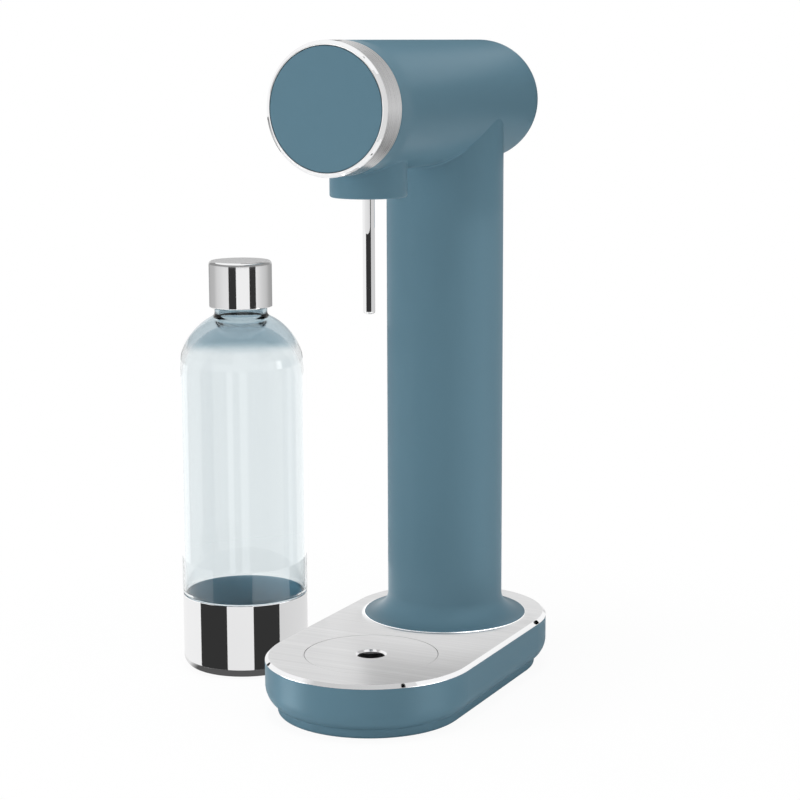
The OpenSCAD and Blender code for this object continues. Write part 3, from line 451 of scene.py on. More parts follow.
def sweptMesh(name, profile, stations, place=standing, closed=False):
    profile = list(profile)
    if closed:
        profile.append(profile[0])
    slopes = profileNormals(profile)
    if closed:
        ends = slopes[0] + slopes[-1]
        slopes[0] = slopes[-1] = ends / np.linalg.norm(ends)
        profile, slopes = profile[:-1], slopes[:-1]
    points, normals, rows = [], [], []
    for (r, h), (nr, nh) in zip(profile, slopes):
        row = []
        for cx, cy, angle in stations:
            if r < 1e-7 and row:
                row.append(row[0])
                continue
            row.append(len(points))
            points.append(place(r, h, cx, cy, angle))
            normals.append(place(nr, nh, 0.0, 0.0, angle))
        rows.append(row)
    faces = []
    pairs = list(zip(rows, rows[1:])) + ([(rows[-1], rows[0])] if closed else [])
    for low, high in pairs:
        for i in range(len(stations)):
            j = (i + 1) % len(stations)
            loop = [low[i], low[j], high[j], high[i]]
            face = [v for k, v in enumerate(loop) if v not in loop[:k]]
            if len(face) > 2:
                faces.append(face)
    return shapeMesh(name, points, faces, normals)


def shapeMesh(name, points, faces, normals):
    # faces are turned so that they agree with the given normals
    turned = []
    for face in faces:
        a, b, c = (np.array(points[v]) for v in (face[0], face[1], face[-1]))
        facing = sum(np.array(normals[v]) for v in face)
        turned.append(face if np.cross(b - a, c - a) @ facing >= 0 else face[::-1])
    mesh = bpy.data.meshes.new(name)
    mesh.from_pydata(points, [], turned)
    mesh.update()
    mesh.polygons.foreach_set("use_smooth", [True] * len(mesh.polygons))
    mesh.normals_split_custom_set_from_vertices([Vector(n).normalized() for n in normals])
    return mesh


def addPiece(mesh, body, finishes, replaced=(), second=None):
    # second: picks the faces that get the second finish, from their middle
    piece = addObject(mesh.name, mesh)
    for finish in finishes:
        mesh.materials.append(finish)
    if second:
        for polygon in mesh.polygons:
            if second(polygon.center):
                polygon.material_index = 1
    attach(piece, body)
    if replaced:
        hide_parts(*replaced)
    return piece


def scaled(values, *names):
    return [values[n] * mm for n in names]


# Painted housing: head, column, collar and flared foot in one skin

housingLook = {
    "headZ": 390.5, "headR": 41.0, "frontY": -95.25, "roundY": 112.25,
    "columnY": 55.75, "columnR": 39.5, "columnFillet": 2.0,
    "nozzleY": -59.75, "collarR": 24.4, "collarBore": 22.0, "collarLow": 334.5,
    "collarFillet": 1.4, "collarRound": 1.5, "frontRound": 0.7, "frontLip": 38.6,
    "plateTop": 38.0, "flareW": 16.2, "flareH": 14.0, "flareEdge": 0.8, "flareRound": 0.45,
    "around": 144,              # strips round the head
    # windows that the branches leave: half their width in strips, and from where to where in how many rows
    "collarWindow": (20, -92.0, -27.5, 36), "columnWindow": (34, 10.0, 104.0, 48),
    "gridStep": 4.0, "rearRings": 30, "rimSteps": 10, "filletSteps": 8, "flareSteps": 24,
}


def housingSkin(v):
    headZ, headR, columnY, nozzleY = scaled(v, "headZ", "headR", "columnY", "nozzleY")
    points, normals, faces = [], [], []

    def vertex(point, normal):
        points.append(tuple(point))
        normals.append(tuple(normal))
        return len(points) - 1

    def onHead(turn, y, radius=headR):
        # turn is measured from straight down
        return (radius * math.sin(turn), y, headZ - radius * math.cos(turn))

    def strip(low, high, closed=True):
        count = len(low)
        for i in range(count if closed else count - 1):
            j = (i + 1) % count
            faces.append([low[i], low[j], high[j], high[i]])

    # Lines of the head's grid; each branch leaves a window in it
    around = v["around"]
    turns = [2 * math.pi * i / around for i in range(around)]
    branches = []
    for name, y in (("collar", nozzleY), ("column", columnY)):
        half, low, high, rows = v[name + "Window"]
        branches.append({"y": y, "r": v[name + "R"] * mm, "fillet": v[name + "Fillet"] * mm,
                         "half": half, "span": (low * mm, high * mm), "rows": rows})
    lines = [(v["frontY"] + v["frontRound"]) * mm]
    for branch in branches:
        low, high = branch["span"]
        start = lines[-1]
        gap = max(1, round((low - start) / (v["gridStep"] * mm)))
        lines += [start + (low - start) * k / gap for k in range(1, gap)]
        branch["first"] = len(lines)
        lines += [low + (high - low) * k / branch["rows"] for k in range(branch["rows"] + 1)]
    lines += [lines[-1] + (v["roundY"] * mm - lines[-1]) * k / 3 for k in range(1, 4)]

    grid = {}

    def node(i, k):
        key = (i % around, k)
        if key not in grid:
            turn = turns[i % around]
            grid[key] = vertex(onHead(turn, lines[k]), (math.sin(turn), 0, -math.cos(turn)))
        return grid[key]

    def inWindow(i, k):
        for branch in branches:
            side = i if i < around / 2 else i - around
            inRows = branch["first"] <= k < branch["first"] + branch["rows"]
            if inRows and -branch["half"] <= side < branch["half"]:
                return True
        return False

    for k in range(len(lines) - 1):
        for i in range(around):
            if not inWindow(i, k):
                faces.append([node(i, k), node(i + 1, k), node(i + 1, k + 1), node(i, k + 1)])

    # Front edge, rounded and turned in behind the knob
    last = [node(i, 0) for i in range(around)]
    edge = roundCorners([(headR, -lines[0], 0), (headR, -v["frontY"] * mm, v["frontRound"] * mm),
                         (v["frontLip"] * mm, -v["frontY"] * mm, 0.2 * mm),
                         (v["frontLip"] * mm, -lines[0] - 5 * mm, 0)])
    for (r, h), (nr, nh) in list(zip(edge, profileNormals(edge)))[1:]:
        row = [vertex(onHead(t, -h, r), (nr * math.sin(t), -nh, -nr * math.cos(t))) for t in turns]
        strip(last, row)
        last = row

    # Round rear end
    last = [node(i, len(lines) - 1) for i in range(around)]
    for k in range(1, v["rearRings"]):
        lift = math.pi / 2 * k / v["rearRings"]
        row = []
        for t in turns:
            n = (math.cos(lift) * math.sin(t), math.sin(lift), -math.cos(lift) * math.cos(t))
            row.append(vertex((n[0] * headR, v["roundY"] * mm + n[1] * headR, headZ + n[2] * headR), n))
        strip(last, row)
        last = row
    pole = vertex((0, v["roundY"] * mm + headR, headZ), (0, 1, 0))
    for i in range(around):
        faces.append([last[i], last[(i + 1) % around], pole])

    # Branches: a fillet rolls round each crossing, and the window closes on it
    for branch in branches:
        half, rows, first = branch["half"], branch["rows"], branch["first"]
        low, high = branch["span"]
        middle, reach = branch["y"], (high - low) / 2
        rim = [(half, first + k) for k in range(rows)]
        rim += [(half - i, first + rows) for i in range(2 * half)]
        rim += [(-half, first + rows - k) for k in range(rows)]
        rim += [(-half + i, first) for i in range(2 * half)]
        angles = [math.atan2((lines[k] - (low + high) / 2) / reach, i / half) for i, k in rim]
        fillet = branch["fillet"]
        wide, tall = branch["r"] + fillet, headR + fillet
        centres = []
        for a in angles:
            x = wide * math.cos(a)
            centres.append(np.array((x, middle + wide * math.sin(a), headZ - math.sqrt(tall * tall - x * x))))
        # from the window's rim in to the fillet, along the head
        steps = v["rimSteps"]
        last = [node(i, k) for i, k in rim]
        for s in range(1, steps + 1):
            share = 1 - (1 - s / steps) ** 1.3
            row = []
            for (i, k), c in zip(rim, centres):
                turn = math.atan2(c[0], headZ - c[2])
                t = (1 - share) * (i * 2 * math.pi / around) + share * turn
                y = (1 - share) * lines[k] + share * c[1]
                row.append(vertex(onHead(t, y), (math.sin(t), 0, -math.cos(t))))
            strip(last, row)
            last = row
        # round the fillet to the branch's own wall
        for s in range(1, v["filletSteps"] + 1):
            row = []
            for a, c in zip(angles, centres):
                start = np.array((-c[0], 0, headZ - c[2]))
                start = start / np.linalg.norm(start)
                end = np.array((-math.cos(a), -math.sin(a), 0))
                bend = math.acos(max(-1.0, min(1.0, float(start @ end))))
                f = s / v["filletSteps"]
                u = (math.sin((1 - f) * bend) * start + math.sin(f * bend) * end) / math.sin(bend)
                row.append(vertex(c + u * fillet, -u))
            strip(last, row)
            last = row
        if branch is branches[0]:
            wall = roundCorners([(branch["r"], 1, 0), (branch["r"], v["collarLow"] * mm, v["collarRound"] * mm),
                                 (v["collarBore"] * mm, v["collarLow"] * mm, 0.4 * mm),
                                 (v["collarBore"] * mm, (v["collarLow"] + 2.6) * mm, 0)], 8)[1:]
        else:
            top = v["plateTop"] * mm
            lip = (v["columnR"] + v["flareW"]) * mm
            wall = []
            for k in range(v["flareSteps"] + 1):
                a = math.pi / 2 * k / v["flareSteps"]
                wall.append(((v["columnR"] + v["flareW"] * (1 - math.cos(a))) * mm,
                             top + (v["flareEdge"] + v["flareH"] * (1 - math.sin(a))) * mm))
            wall[-1] = (lip - v["flareRound"] * mm, wall[-1][1])
            wall += roundCorners([(wall[-1][0], wall[-1][1], 0),
                                  (lip, wall[-1][1], v["flareRound"] * 0.98 * mm), (lip, top, 0)])[1:]
        slopes = profileNormals(wall[::-1])[::-1]
        if branch is not branches[0]:
            slopes[0] = (1, 0)
        for (r, h), (nr, nh) in zip(wall, slopes):
            row = [vertex(standing(r, h, 0, middle, a), standing(nr, nh, 0, 0, a)) for a in angles]
            strip(last, row)
            last = row
    return shapeMesh("housingSkin", points, faces, normals)


addPiece(housingSkin(housingLook), "machine", [paint], ["housing", "column_foot", "nozzle_collar"])
print("housing skin made")


# Steel knob ring and its painted face

knobLook = {
    "backY": -95.75, "faceY": -117.25, "ringR": 41.0, "bandEnd": -115.25, "ringBore": 38.1,
    "discR": 37.7, "discY": -116.95, "discDepth": 2.4, "discRound": 0.35,
}


def knobPieces(v):
    headZ = housingLook["headZ"] * mm
    around = roundStations(192, 0.0, headZ)
    back, face, bandEnd = (-n for n in scaled(v, "backY", "faceY", "bandEnd"))
    ringR, bore = scaled(v, "ringR", "ringBore")
    # the band, a convex polished chamfer and the lip round the disc
    chamfer = roundCorners([(bore, back, 0), (ringR - 0.4 * mm, back, 0), (ringR, back + 0.4 * mm, 0.3 * mm),
                            (ringR, bandEnd, 0.35 * mm), (ringR - 1.05 * mm, bandEnd + 1.1 * mm, 1.6 * mm),
                            (bore + 0.75 * mm, face - 0.12 * mm, 0.5 * mm), (bore, face - 0.25 * mm, 0.28 * mm),
                            (bore, face - 2.6 * mm, 0)], 5)
    ring = sweptMesh("knobRing", chamfer, around, lying)
    addPiece(ring, "knob", [ringSteel, polish], ["knob_ring"],
             lambda c: -c.y > bandEnd - 0.0001)
    disc = v["discY"] * -mm
    discR, discDepth, discRound = scaled(v, "discR", "discDepth", "discRound")
    front = roundCorners([(discR, disc - discDepth, 0), (discR, disc, discRound), (0, disc, 0)])
    addPiece(sweptMesh("knobFace", front, around, lying), "knob", [paint], ["knob_face"])


knobPieces(knobLook)
print("knob made")


# Spring under the plunger's head

springLook = {"coilR": 5.6, "wireR": 0.6, "turns": 4, "travel": 2.41, "headGap": 0.15, "rings": 128, "sides": 10}


def plungerSpring(v):
    low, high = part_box("plunger_spring")
    coilR, wireR, travel, headGap, columnY = scaled({**v, "columnY": housingLook["columnY"]},
                                                    "coilR", "wireR", "travel", "headGap", "columnY")
    bottom, top = low[2] + wireR, high[2] - wireR
    points, normals, faces = [], [], []
    for i in range(v["rings"] + 1):
        angle = 2 * math.pi * v["turns"] * i / v["rings"]
        out = Vector((math.cos(angle), math.sin(angle), 0))
        along = Vector((-out.y * coilR, out.x * coilR, (top - bottom) / (2 * math.pi * v["turns"]))).normalized()
        middle = Vector((0, columnY, bottom + (top - bottom) * i / v["rings"])) + out * coilR
        for k in range(v["sides"]):
            turn = 2 * math.pi * k / v["sides"]
            normal = out * math.cos(turn) + along.cross(out) * math.sin(turn)
            points.append(tuple(middle + normal * wireR))
            normals.append(tuple(normal))
    for i in range(v["rings"]):
        for k in range(v["sides"]):
            a, b = i * v["sides"] + k, i * v["sides"] + (k + 1) % v["sides"]
            faces.append([a, b, b + v["sides"], a + v["sides"]])
    faces.append(list(range(v["sides"]))[::-1])
    faces.append([v["rings"] * v["sides"] + k for k in range(v["sides"])])
    mesh = shapeMesh("plungerSpring", points, faces, normals)
    spring = addPiece(mesh, "plunger", [zincSteel], ["plunger_spring"])
    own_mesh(spring)


plungerSpring(springLook)
print("plunger spring made")


# Steel top plate with its polished rim, and the bead round the column's foot

plateLook = {
    "frontY": -59.75, "rearY": 59.75, "baseR": 69.0, "plateTop": 38.0, "plateLow": 35.5,
    "bevel": 2.2, "edge": 0.3, "wellR": 43.75, "columnHole": 45.0,
    "beadW": 0.65, "beadH": 0.35, "wellDepth": 2.2,
}


def platePieces(v):
    front, rear, baseR = scaled(v, "frontY", "rearY", "baseR")
    top, low, bevel, edge = scaled(v, "plateTop", "plateLow", "bevel", "edge")
    outline = longStations(96, front, rear)
    rim = roundCorners([(baseR - 4 * mm, low, 0), (baseR, low, 0.1 * mm), (baseR, low + edge, 0.15 * mm),
                        (baseR - bevel, top, 0.35 * mm), (baseR - bevel - 1.0 * mm, top, 0)], 4)
    mesh = sweptMesh("topPlate", rim, outline)
    bm = bmesh.new()
    bm.from_mesh(mesh)
    loops = [e for e in bm.edges if e.is_boundary and all(abs(p.co.z - top) < 1e-6 for p in e.verts)]
    for cy, radius, count in ((front, v["wellR"] * mm, 160), (housingLook["columnY"] * mm, v["columnHole"] * mm, 96)):
        ring = [bm.verts.new(standing(radius, top, 0, cy, angle)) for _, _, angle in roundStations(count, 0, cy)]
        loops += [bm.edges.new((ring[i], ring[(i + 1) % count])) for i in range(count)]
    filled = bmesh.ops.triangle_fill(bm, edges=loops, use_beauty=True, normal=(0, 0, 1))
    for item in filled["geom"]:
        if isinstance(item, bmesh.types.BMFace):
            item.smooth = True
            if item.normal.z < 0:
                item.normal_flip()
    bm.to_mesh(mesh)
    bm.free()
    # the rim keeps its own slopes, the flat top looks straight up
    up = Vector((0, 0, 1))
    normals = [up if abs(point.co.z - top) < 1e-6 else None for point in mesh.vertices]
    slopes = profileNormals(rim)
    for k, (nr, nh) in enumerate(slopes):
        for i, (_, _, angle) in enumerate(outline):
            index = k * len(outline) + i
            if normals[index] is None or k < len(rim) - 2:
                normals[index] = Vector(standing(nr, nh, 0, 0, angle)).normalized()
    mesh.normals_split_custom_set_from_vertices([n or up for n in normals])
    edgeLine = baseR - bevel + 0.15 * mm

    def onRim(c):
        y = max(front, min(rear, c.y))
        return math.hypot(c.x, c.y - y) > edgeLine or c.z < top - 1e-5

    addPiece(mesh, "machine", [plateSteel, polish], ["top_plate"], onRim)

    # rounded lip of the well, and the polished bead round the column's foot
    well, wellDepth, beadW, beadH = scaled(v, "wellR", "wellDepth", "beadW", "beadH")
    lip = sweptMesh("wellLip", [(well, top), (well, top - wellDepth)], roundStations(160, 0.0, front))
    addPiece(lip, "machine", [plateSteel])
    foot = (housingLook["columnR"] + housingLook["flareW"]) * mm
    arc = [math.pi * k / 8 for k in range(9)]
    bead = [(foot + beadW / 2 + beadW / 2 * math.cos(a), top + beadH * math.sin(a)) for a in arc]
    bead = sweptMesh("footBead", bead, roundStations(192, 0.0, housingLook["columnY"] * mm))
    addPiece(bead, "machine", [polish])


platePieces(plateLook)
print("top plate made")


# Round drip plate with its finger hole

dripLook = {"radius": 43.45, "edge": 0.25, "hole": 8.75, "holeBevel": 1.5, "holeDepth": 1.2}


def dripPlate(v):
    low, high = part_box("drip_plate")
    top, under = high[2], low[2]
    radius, edge, hole, bevel, depth = scaled(v, "radius", "edge", "hole", "holeBevel", "holeDepth")
    middle = plateLook["frontY"] * mm
    profile = roundCorners([(hole, under, 0), (radius, under, 0.1 * mm), (radius, top, edge),
                            (hole + bevel, top, 0.25 * mm), (hole, top - depth, 0.3 * mm),
                            (hole, under, 0)], 5)[:-1]
    mesh = sweptMesh("dripPlate", profile, roundStations(256, 0.0, middle), closed=True)
    addPiece(mesh, "drip_plate", [plateSteel, holeSteel], ["drip_plate"],
             lambda c: math.hypot(c.x, c.y - middle) < hole + bevel - 0.1 * mm)


dripPlate(dripLook)
print("drip plate made")


# Carbonation tube

tubeLook = {"radius": 3.85, "bore": 1.6, "tipRound": 1.6, "mouth": 0.8}


def carbonationTube(v):
    low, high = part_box("carbonation_tube")
    radius, bore, tipRound, mouth = scaled(v, "radius", "bore", "tipRound", "mouth")
    tip, top = low[2], high[2]
    profile = roundCorners([(bore, top, 0), (bore, tip + 1.5 * mm, 0.4 * mm), (mouth, tip + 0.4 * mm, 0.15 * mm),
                            (mouth + 0.1 * mm, tip, 0.15 * mm), (radius, tip, tipRound), (radius, top, 0)], 8)
    mesh = sweptMesh("carbonationTube", profile, roundStations(64, 0.0, plateLook["frontY"] * mm), closed=True)
    addPiece(mesh, "machine", [polish], ["carbonation_tube"])


carbonationTube(tubeLook)
print("tube made")


# Bottle: clear vessel, steel sleeve, painted cup and screw cap

bottleLook = {
    "x": -127.5, "y": -1.0, "radius": 43.3, "sleeveH": 52.0, "sleeveRound": 7.0, "sleeveWall": 0.6,
    "footShow": 0.6, "footR": 33.0, "cupWall": 0.5, "cupFloor": 4.4, "wall": 1.6, "shoulderThick": 6.0,
    "wallRound": 14.0, "shoulderZ": 207.2, "shoulderSteps": 36, "neckR": 18.0, "neckRoot": 3.0, "neckSteps": 8,
    "finishR": 17.2, "finishZ": 251.3, "mouthZ": 278.18, "neckBore": 15.2,
    "capR": 21.5, "capLow": 252.08, "capTop": 283.68, "capWall": 0.8, "capTopRound": 2.2, "capLowRound": 0.65,
}


def bottlePieces(v):
    x, y, radius, sleeveH = scaled(v, "x", "y", "radius", "sleeveH")
    around = roundStations(320, x, y)
    wall, sleeveRound, sleeveWall, footR, show = scaled(v, "wall", "sleeveRound", "sleeveWall", "footR", "footShow")
    cupWall, cupFloor, shoulderZ, wallRound = scaled(v, "cupWall", "cupFloor", "shoulderZ", "wallRound")

    # steel sleeve, turned in under the cup
    innerR, floor, innerRound = radius - sleeveWall, show + sleeveWall, sleeveRound - sleeveWall
    sleeve = roundCorners([(footR, show, 0), (radius, show, sleeveRound), (radius, sleeveH, 0.25 * mm),
                           (innerR, sleeveH, 0.25 * mm), (innerR, floor, innerRound), (footR, floor, 0)], 12)
    sleeve = sweptMesh("bottleSleeve", sleeve, around, closed=True)
    addPiece(sleeve, "bottle", [polish], ["bottle_sleeve"])

    # painted cup inside it; its blue is drawn lighter than the body's, as painted light
    cupR, seatR = innerR - 0.02 * mm, innerR - cupWall
    lipZ = sleeveH - 0.1 * mm
    cup = roundCorners([(0, 2 * mm, 0), (footR, 2 * mm, 0), (footR, floor, 0), (cupR, floor, innerRound),
                        (cupR, lipZ, 0), (seatR, lipZ, 0.3 * mm), (seatR, cupFloor, wallRound), (0, cupFloor, 0)], 12)
    addPiece(sweptMesh("bottleCup", cup, around), "bottle", [cupPaintWithPaintedLight], ["bottle_cup"])

    # clear vessel: skin and inside in one closed turn
    neckR, finishR, finishZ, mouthZ, neckBore = scaled(v, "neckR", "finishR", "finishZ", "mouthZ", "neckBore")
    low = cupFloor + 0.05 * mm
    turnedIn = seatR - 0.1 * mm
    fillet, thick = scaled(v, "neckRoot", "shoulderThick")

    def shoulder(r, root):
        # arc of the shoulder up to a fillet that leads into the neck
        steps, bends = v["shoulderSteps"], v["neckSteps"]
        reach = r + fillet
        away = math.acos((root + fillet) / reach)
        arc = [(r * math.cos(away * k / steps), shoulderZ + r * math.sin(away * k / steps)) for k in range(steps + 1)]
        centre = (reach * math.cos(away), shoulderZ + reach * math.sin(away))
        turns = [away * (1 - k / bends) for k in range(1, bends + 1)]
        return arc + [(centre[0] - fillet * math.cos(a), centre[1] - fillet * math.sin(a)) for a in turns]

    outer = roundCorners([(0, low, 0), (turnedIn, low, wallRound), (turnedIn, sleeveH - 0.2 * mm, 0.4 * mm),
                          (radius, sleeveH + 1.2 * mm, 1.2 * mm), (radius, shoulderZ, 0)], 10)[:-1]
    outer += shoulder(radius, neckR)
    outer += roundCorners([(neckR, finishZ - 2 * mm, 0), (neckR, finishZ, 0.4 * mm),
                           (finishR, finishZ + 0.4 * mm, 0.3 * mm), (finishR, mouthZ, 0.5 * mm),
                           (neckBore, mouthZ, 0.5 * mm), (neckBore, mouthZ - 3 * mm, 0)], 5)[1:]
    inside = radius - wall
    inner = [(r, z - thick) for r, z in shoulder(inside, neckBore)[::-1]]
    inner += roundCorners([(inside, shoulderZ - thick - 1 * mm, 0), (inside, sleeveH + 3 * mm, 2.0 * mm),
                           (turnedIn - wall, sleeveH - 2 * mm, 2.0 * mm),
                           (turnedIn - wall, low + wall, wallRound - wall), (0, low + wall, 0)], 10)
    vessel = sweptMesh("bottleVessel", outer + inner, around)
    addPiece(vessel, "bottle", [clear], ["bottle_vessel"])

    # screw cap
    capR, capLow, capTop, capWall, topRound, lowRound = scaled(
        v, "capR", "capLow", "capTop", "capWall", "capTopRound", "capLowRound")
    cap = roundCorners([(capR - capWall - 0.6 * mm, capLow + 0.2 * mm, 0), (capR - capWall, capLow, 0.1 * mm),
                        (capR, capLow, lowRound), (capR, capTop, topRound), (0, capTop, 0)], 8)
    addPiece(sweptMesh("capShell", cap, around), "cap", [polish, capTopSteel], ["cap_shell"],
             lambda c: c.z > capTop - 0.2 * mm)


bottlePieces(bottleLook)
print("bottle made")


# Studio

studio = {
    "world": 0.3,               # light that falls on the object from all round
    "floorSize": 8.0,
    "floorNear": 0.94,          # how white the floor stays beside the object
    "floorFade": (0.15, 0.45),  # where that grows to full white, from the middle outwards
    "panels": {
        # place, aim, size and watts
        "leftPanel": ((-1.13, -1.13, 0.284), (0, 0, 0.2), (0.5, 1.2), 17.6),
        "frontPanel": ((1.502, -0.547, 0.284), (0, 0, 0.2), (0.5, 1.2), 7.3),
        "rightPanel": ((1.543, 0.414, 0.284), (0, 0, 0.2), (0.5, 1.2), 3.6),
        "topPanel": ((0, -0.2, 1.9), (0, 0, 0.3), (0.8, 0.8), 19.4),
    },
}

# Cards that only mirror rays see. They are no part of the object and ride on nothing. They stand close
# round it, and their tones were fitted to the reflections in the photo, so they suit that view best.
# Profile: distance from the upright axis and height in mm. Tones: azimuth in degrees and brightness;
# a pair at one azimuth makes a sharp edge.
cards = {
    "tubeCard": {"centre": (0, -59.75), "profile": [(30, 257.5), (30, 336)], "tones": [
        (-185, 0.95), (-114, 0.95), (-114, 0.035), (-23, 0.035), (-23, 0.66), (70, 0.66)]},
    "capCard": {"centre": (-127.5, -1), "profile": [(90, 236), (90, 274)], "tones": [
        (-200, 0.45), (-161, 0.5), (-145, 0.66), (-115, 0.78), (-99, 0.8), (-99, 0.035), (-74, 0.035),
        (-74, 0.92), (-31, 0.92), (-31, 0.035), (-9, 0.035), (-9, 0.82), (16, 0.66), (36, 0.56), (55, 0.4),
        (100, 0.33)], "outside": 0.95},
    "capTopCard": {"centre": (-127.5, -1), "profile": [(90, 274), (70, 330)], "tones": [
        (-200, 0.3), (60, 0.3), (85, 0.63), (160, 0.63)], "outside": 0.95},
    "sleeveCard": {"centre": (-127.5, -1), "profile": [(55, 0.5), (55, 50)], "tones": [
        (-220, 0.93), (-117, 0.93), (-117, 0.035), (-81, 0.035), (-81, 0.87), (-51.4, 0.87),
        (-51.4, 0.035), (-20.2, 0.035), (-20.2, 0.7), (25, 0.76), (60, 0.8)], "outside": 0.95},
    "footCard": {"centre": (-127.5, -1), "profile": [(30, 0.4), (55, 0.4)], "tones": [
        (-220, 0.85), (-140, 0.8), (-120, 0.1), (-15, 0.1), (10, 0.6), (60, 0.7)]},
    "vesselCard": {"centre": (-127.5, -1), "profile": [(56, 72), (56, 215)], "tones": [
        (-210, 1.6), (-152, 1.6), (-150, 2.2), (-138, 2.2), (-136, 1.0), (-115, 0.9), (-98, 0.0), (-78, 0.0),
        (-76, 1.8), (-71, 1.8), (-70, 0.0), (-64, 0.0), (-62, 1.6), (-56, 1.6), (-53, 0.0), (-33, 0.0),
        (-20, 0.4), (-11, 0.8), (-4, 1.2), (-3, 2.0), (3, 2.0), (5, 1.3), (14, 1.6), (70, 1.6)],
        "outside": 0.95},
    "cupCard": {"centre": (-127.5, -1), "profile": [(56, 45), (56, 72)], "tones": [
        (-160, 1.2), (-98, 1.6), (-98, 0.0), (-52, 0.0), (-52, 2.2), (-4, 2.2), (-4, 0.0), (40, 0.0)],
        "outside": 0.95},
    "columnCard": {"centre": (0, 55.75), "profile": [(75, 60), (75, 312)], "tones": [
        (-112, 0.0), (-60, 0.0), (-42, 4.0), (-30, 5.6), (-8, 5.6), (5, 3.2), (25, 1.0), (50, 0.9)],
        "outside": 0.52},
    "domeCard": {"centre": (0, 0), "profile": [(230, 345), (230, 470)], "tones": [(30, 0.05), (98, 0.05)]},
    "headCard": {"centre": (0, 0), "profile": [(230, 428), (200, 620)], "tones": [(88, 0.4), (98, 0.05), (150, 0.05)]},
    "knobCard": {"centre": (0, -116), "profile": [(200, 250), (200, 560)], "tones": [(-72, 0.78), (15, 0.74)]},
    "wallCard": {"centre": (0, -59.75), "profile": [(85, 1), (85, 33)], "tones": [
        (-136, 0.2), (-127, 8.0), (-118, 8.0), (-106, 0.3), (-42, 0.3), (-30, 4.5), (-18, 4.5), (-6, 0.5)],
        "outside": 0.9},
    "flareCard": {"centre": (0, 55.75), "profile": [(58, 38.6), (75, 60)], "tones": [(-200, 1.7), (20, 1.7)],
                  "outside": 0.9},
    "rimCard": {"centre": (0, -59.75), "profile": [(80, 97), (112, 97)], "tones": [
        (-132, 0.95), (-118, 0.63), (-35, 0.63)]},
}
# Small dark cards that put painted dark reflections on the rim and the knob: middle and the direction that they face,
# in mm, with width and height
darkReflectionCards = {
    "rimDarkReflectionLeft": ((-84.3, -84.9, 43.8), (33.8, -20.3, -6.9), 4.5, 5.0),
    "rimDarkReflectionFront": ((64.0, -110.1, 73.1), (-16.8, 1.5, -36.2), 5.0, 5.0),
    "rimDarkReflectionRight": ((78.8, 95.1, 51.2), (-10.9, -35.7, -14.3), 4.0, 5.0),
    "knobDarkReflectionTop": ((34.9, -125.7, 448), (-9.3, 9.3, -27), 4.5, 4.5),
    "knobDarkReflectionLow": ((44.1, -125.5, 339.5), (-14.1, 9.1, 24.9), 4.5, 4.5),
    "knobDarkReflectionLeft": ((-65.4, -101.9, 381.5), (26.2, -14.5, 2.1), 4.0, 5.0),
}
# Flat ring behind the knob's band
ringCard = {"y": -78.0, "inner": 42.0, "outer": 80.0, "tones": [
    (-110, 0.9), (-70, 0.7), (-45, 0.3), (-20, 0.5), (0, 0.75), (25, 0.6), (60, 0.5), (100, 0.8)]}
cardStep = 4.0                  # degrees between the points of a card


def cardTone():
    # a card's two sides have tones of their own
    mat = bpy.data.materials.new("cardTone")
    tree, out = emptyTree(mat, "ShaderNodeOutputMaterial")
    glow = tree.nodes.new("ShaderNodeEmission")
    sides = []
    for label in ("inside", "outside"):
        node = tree.nodes.new("ShaderNodeAttribute")
        node.attribute_name = label
        sides.append(node.outputs["Fac"])
    back = tree.nodes.new("ShaderNodeNewGeometry").outputs["Backfacing"]
    tree.links.new(blend(tree, *sides, back), glow.inputs["Strength"])
    tree.links.new(glow.outputs[0], out.inputs["Surface"])
    return mat


def addCard(name, finish, stops, rings, outside=None):
    # rings: functions that give the two or more edges of the card at an angle
    points, faces, inside = [], [], []
    for (a0, t0), (a1, t1) in zip(stops, stops[1:]):
        if a1 - a0 < 1e-6:
            continue
        count = max(1, round((a1 - a0) / cardStep))
        start = len(points)
        for k in range(count + 1):
            angle = math.radians(a0 + (a1 - a0) * k / count)
            for ring in rings:
                points.append(ring(angle))
                inside.append(t0 + (t1 - t0) * k / count)
        for k in range(count):
            for j in range(len(rings) - 1):
                i = start + k * len(rings) + j
                faces.append((i, i + 1, i + len(rings) + 1, i + len(rings)))
    mesh = bpy.data.meshes.new(name)
    mesh.from_pydata(points, [], faces)
    mesh.update()
    behind = inside if outside is None else [outside] * len(inside)
    for label, values in (("inside", inside), ("outside", behind)):
        mesh.attributes.new(label, "FLOAT", "POINT").data.foreach_set("value", values)
    mesh.materials.append(finish)
    card = addObject(name, mesh)
    card.visible_camera = card.visible_diffuse = card.visible_transmission = False
    card.visible_shadow = card.visible_volume_scatter = False


def seenRays(tree, *kinds):
    path = tree.nodes.new("ShaderNodeLightPath")
    seen = path.outputs["Is Camera Ray"]
    for kind in kinds:
        seen = mathNode(tree, "MAXIMUM", seen, path.outputs[kind])
    return seen


def addWorld(s):
    # white where it is seen, and plain light on the object
    world = bpy.data.worlds.new("studio")
    bpy.context.scene.world = world
    tree = emptyTree(world, "ShaderNodeOutputWorld")[0]
    rooms = []
    for strength in (s["world"], 1.0):
        room = tree.nodes.new("ShaderNodeBackground")
        room.inputs["Color"].default_value = (1, 1, 1, 1)
        room.inputs["Strength"].default_value = strength
        rooms.append(room.outputs[0])
    mixSurfaces(tree, seenRays(tree, "Is Transmission Ray", "Is Glossy Ray"), *rooms)


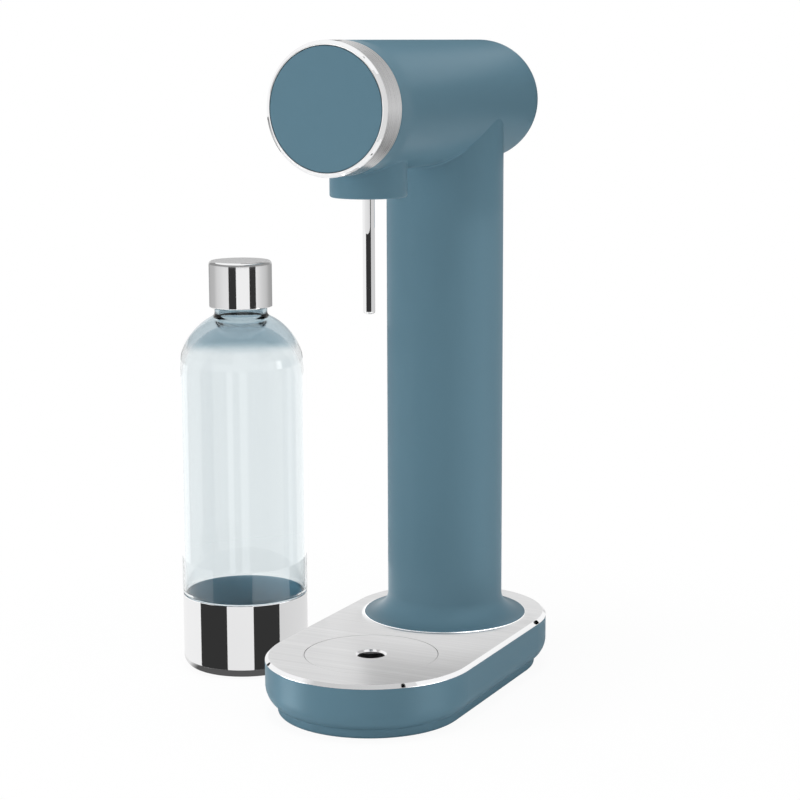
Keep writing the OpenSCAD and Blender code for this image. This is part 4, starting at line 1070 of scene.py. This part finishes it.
def addFloor(s):
    half = s["floorSize"] / 2
    mesh = bpy.data.meshes.new("floor")
    corners = [(x * half, y * half, 0) for x, y in ((-1, -1), (1, -1), (1, 1), (-1, 1))]
    mesh.from_pydata(corners, [], [(0, 1, 2, 3)])
    floor = addObject("floor", mesh)
    mat, tree, shader = newMaterial("floorPaper")
    shader.inputs["Base Color"].default_value = (0.95, 0.95, 0.95, 1)
    shader.inputs["Roughness"].default_value = 0.9
    shader.inputs["Specular IOR Level"].default_value = 0.0
    glow = tree.nodes.new("ShaderNodeEmission")
    reach = tree.nodes.new("ShaderNodeVectorMath")
    reach.operation = "LENGTH"
    tree.links.new(objectPoint(tree), reach.inputs[0])
    away = rangeNode(tree, reach.outputs["Value"], *s["floorFade"], s["floorNear"], 1.0, True)
    white = mathNode(tree, "MULTIPLY", seenRays(tree, "Is Transmission Ray"), away)
    mixSurfaces(tree, white, shader.outputs[0], glow.outputs[0])
    mesh.materials.append(mat)


def addPanel(name, place, target, size, power):
    lamp = bpy.data.lights.new(name, "AREA")
    lamp.shape = "RECTANGLE"
    lamp.size, lamp.size_y = size
    lamp.energy = power
    lamp.color = (1, 1, 1)
    panel = addObject(name, lamp)
    panel.location = place
    panel.rotation_euler = (Vector(target) - Vector(place)).to_track_quat("-Z", "Y").to_euler()
    # steel and clear plastic mirror the white room and the cards instead
    panel.visible_glossy = panel.visible_transmission = False


def addCards():
    finish = cardTone()
    for name, v in cards.items():
        cx, cy = v["centre"]
        rings = [lambda a, r=r, z=z: Vector(standing(r, z, cx, cy, a)) * mm for r, z in v["profile"]]
        addCard(name, finish, v["tones"], rings, v.get("outside"))
    y, headZ = ringCard["y"], housingLook["headZ"]
    rings = [lambda a, r=ringCard[side]: Vector(lying(r, -y, 0, headZ, a)) * mm for side in ("inner", "outer")]
    addCard("ringCard", finish, ringCard["tones"], rings)
    # dark cards whose reflections paint dark spots on the rim and the knob
    for name, (middle, facing, wide, high) in darkReflectionCards.items():
        turn = Vector(facing).to_track_quat("Z", "Y")
        side, rise = turn @ Vector((wide / 2, 0, 0)), turn @ Vector((0, high / 2, 0))
        edge = [lambda a, s=s: (Vector(middle) + side * math.cos(a) + rise * math.sin(a) * s) * mm for s in (1, -1)]
        addCard(name, finish, [(0, 0.0), (180, 0.0)], edge)


addWorld(studio)
addFloor(studio)
for name, panel in studio["panels"].items():
    addPanel(name, *panel)
addCards()
bpy.context.scene.view_settings.view_transform = "Standard"
print("studio lit")
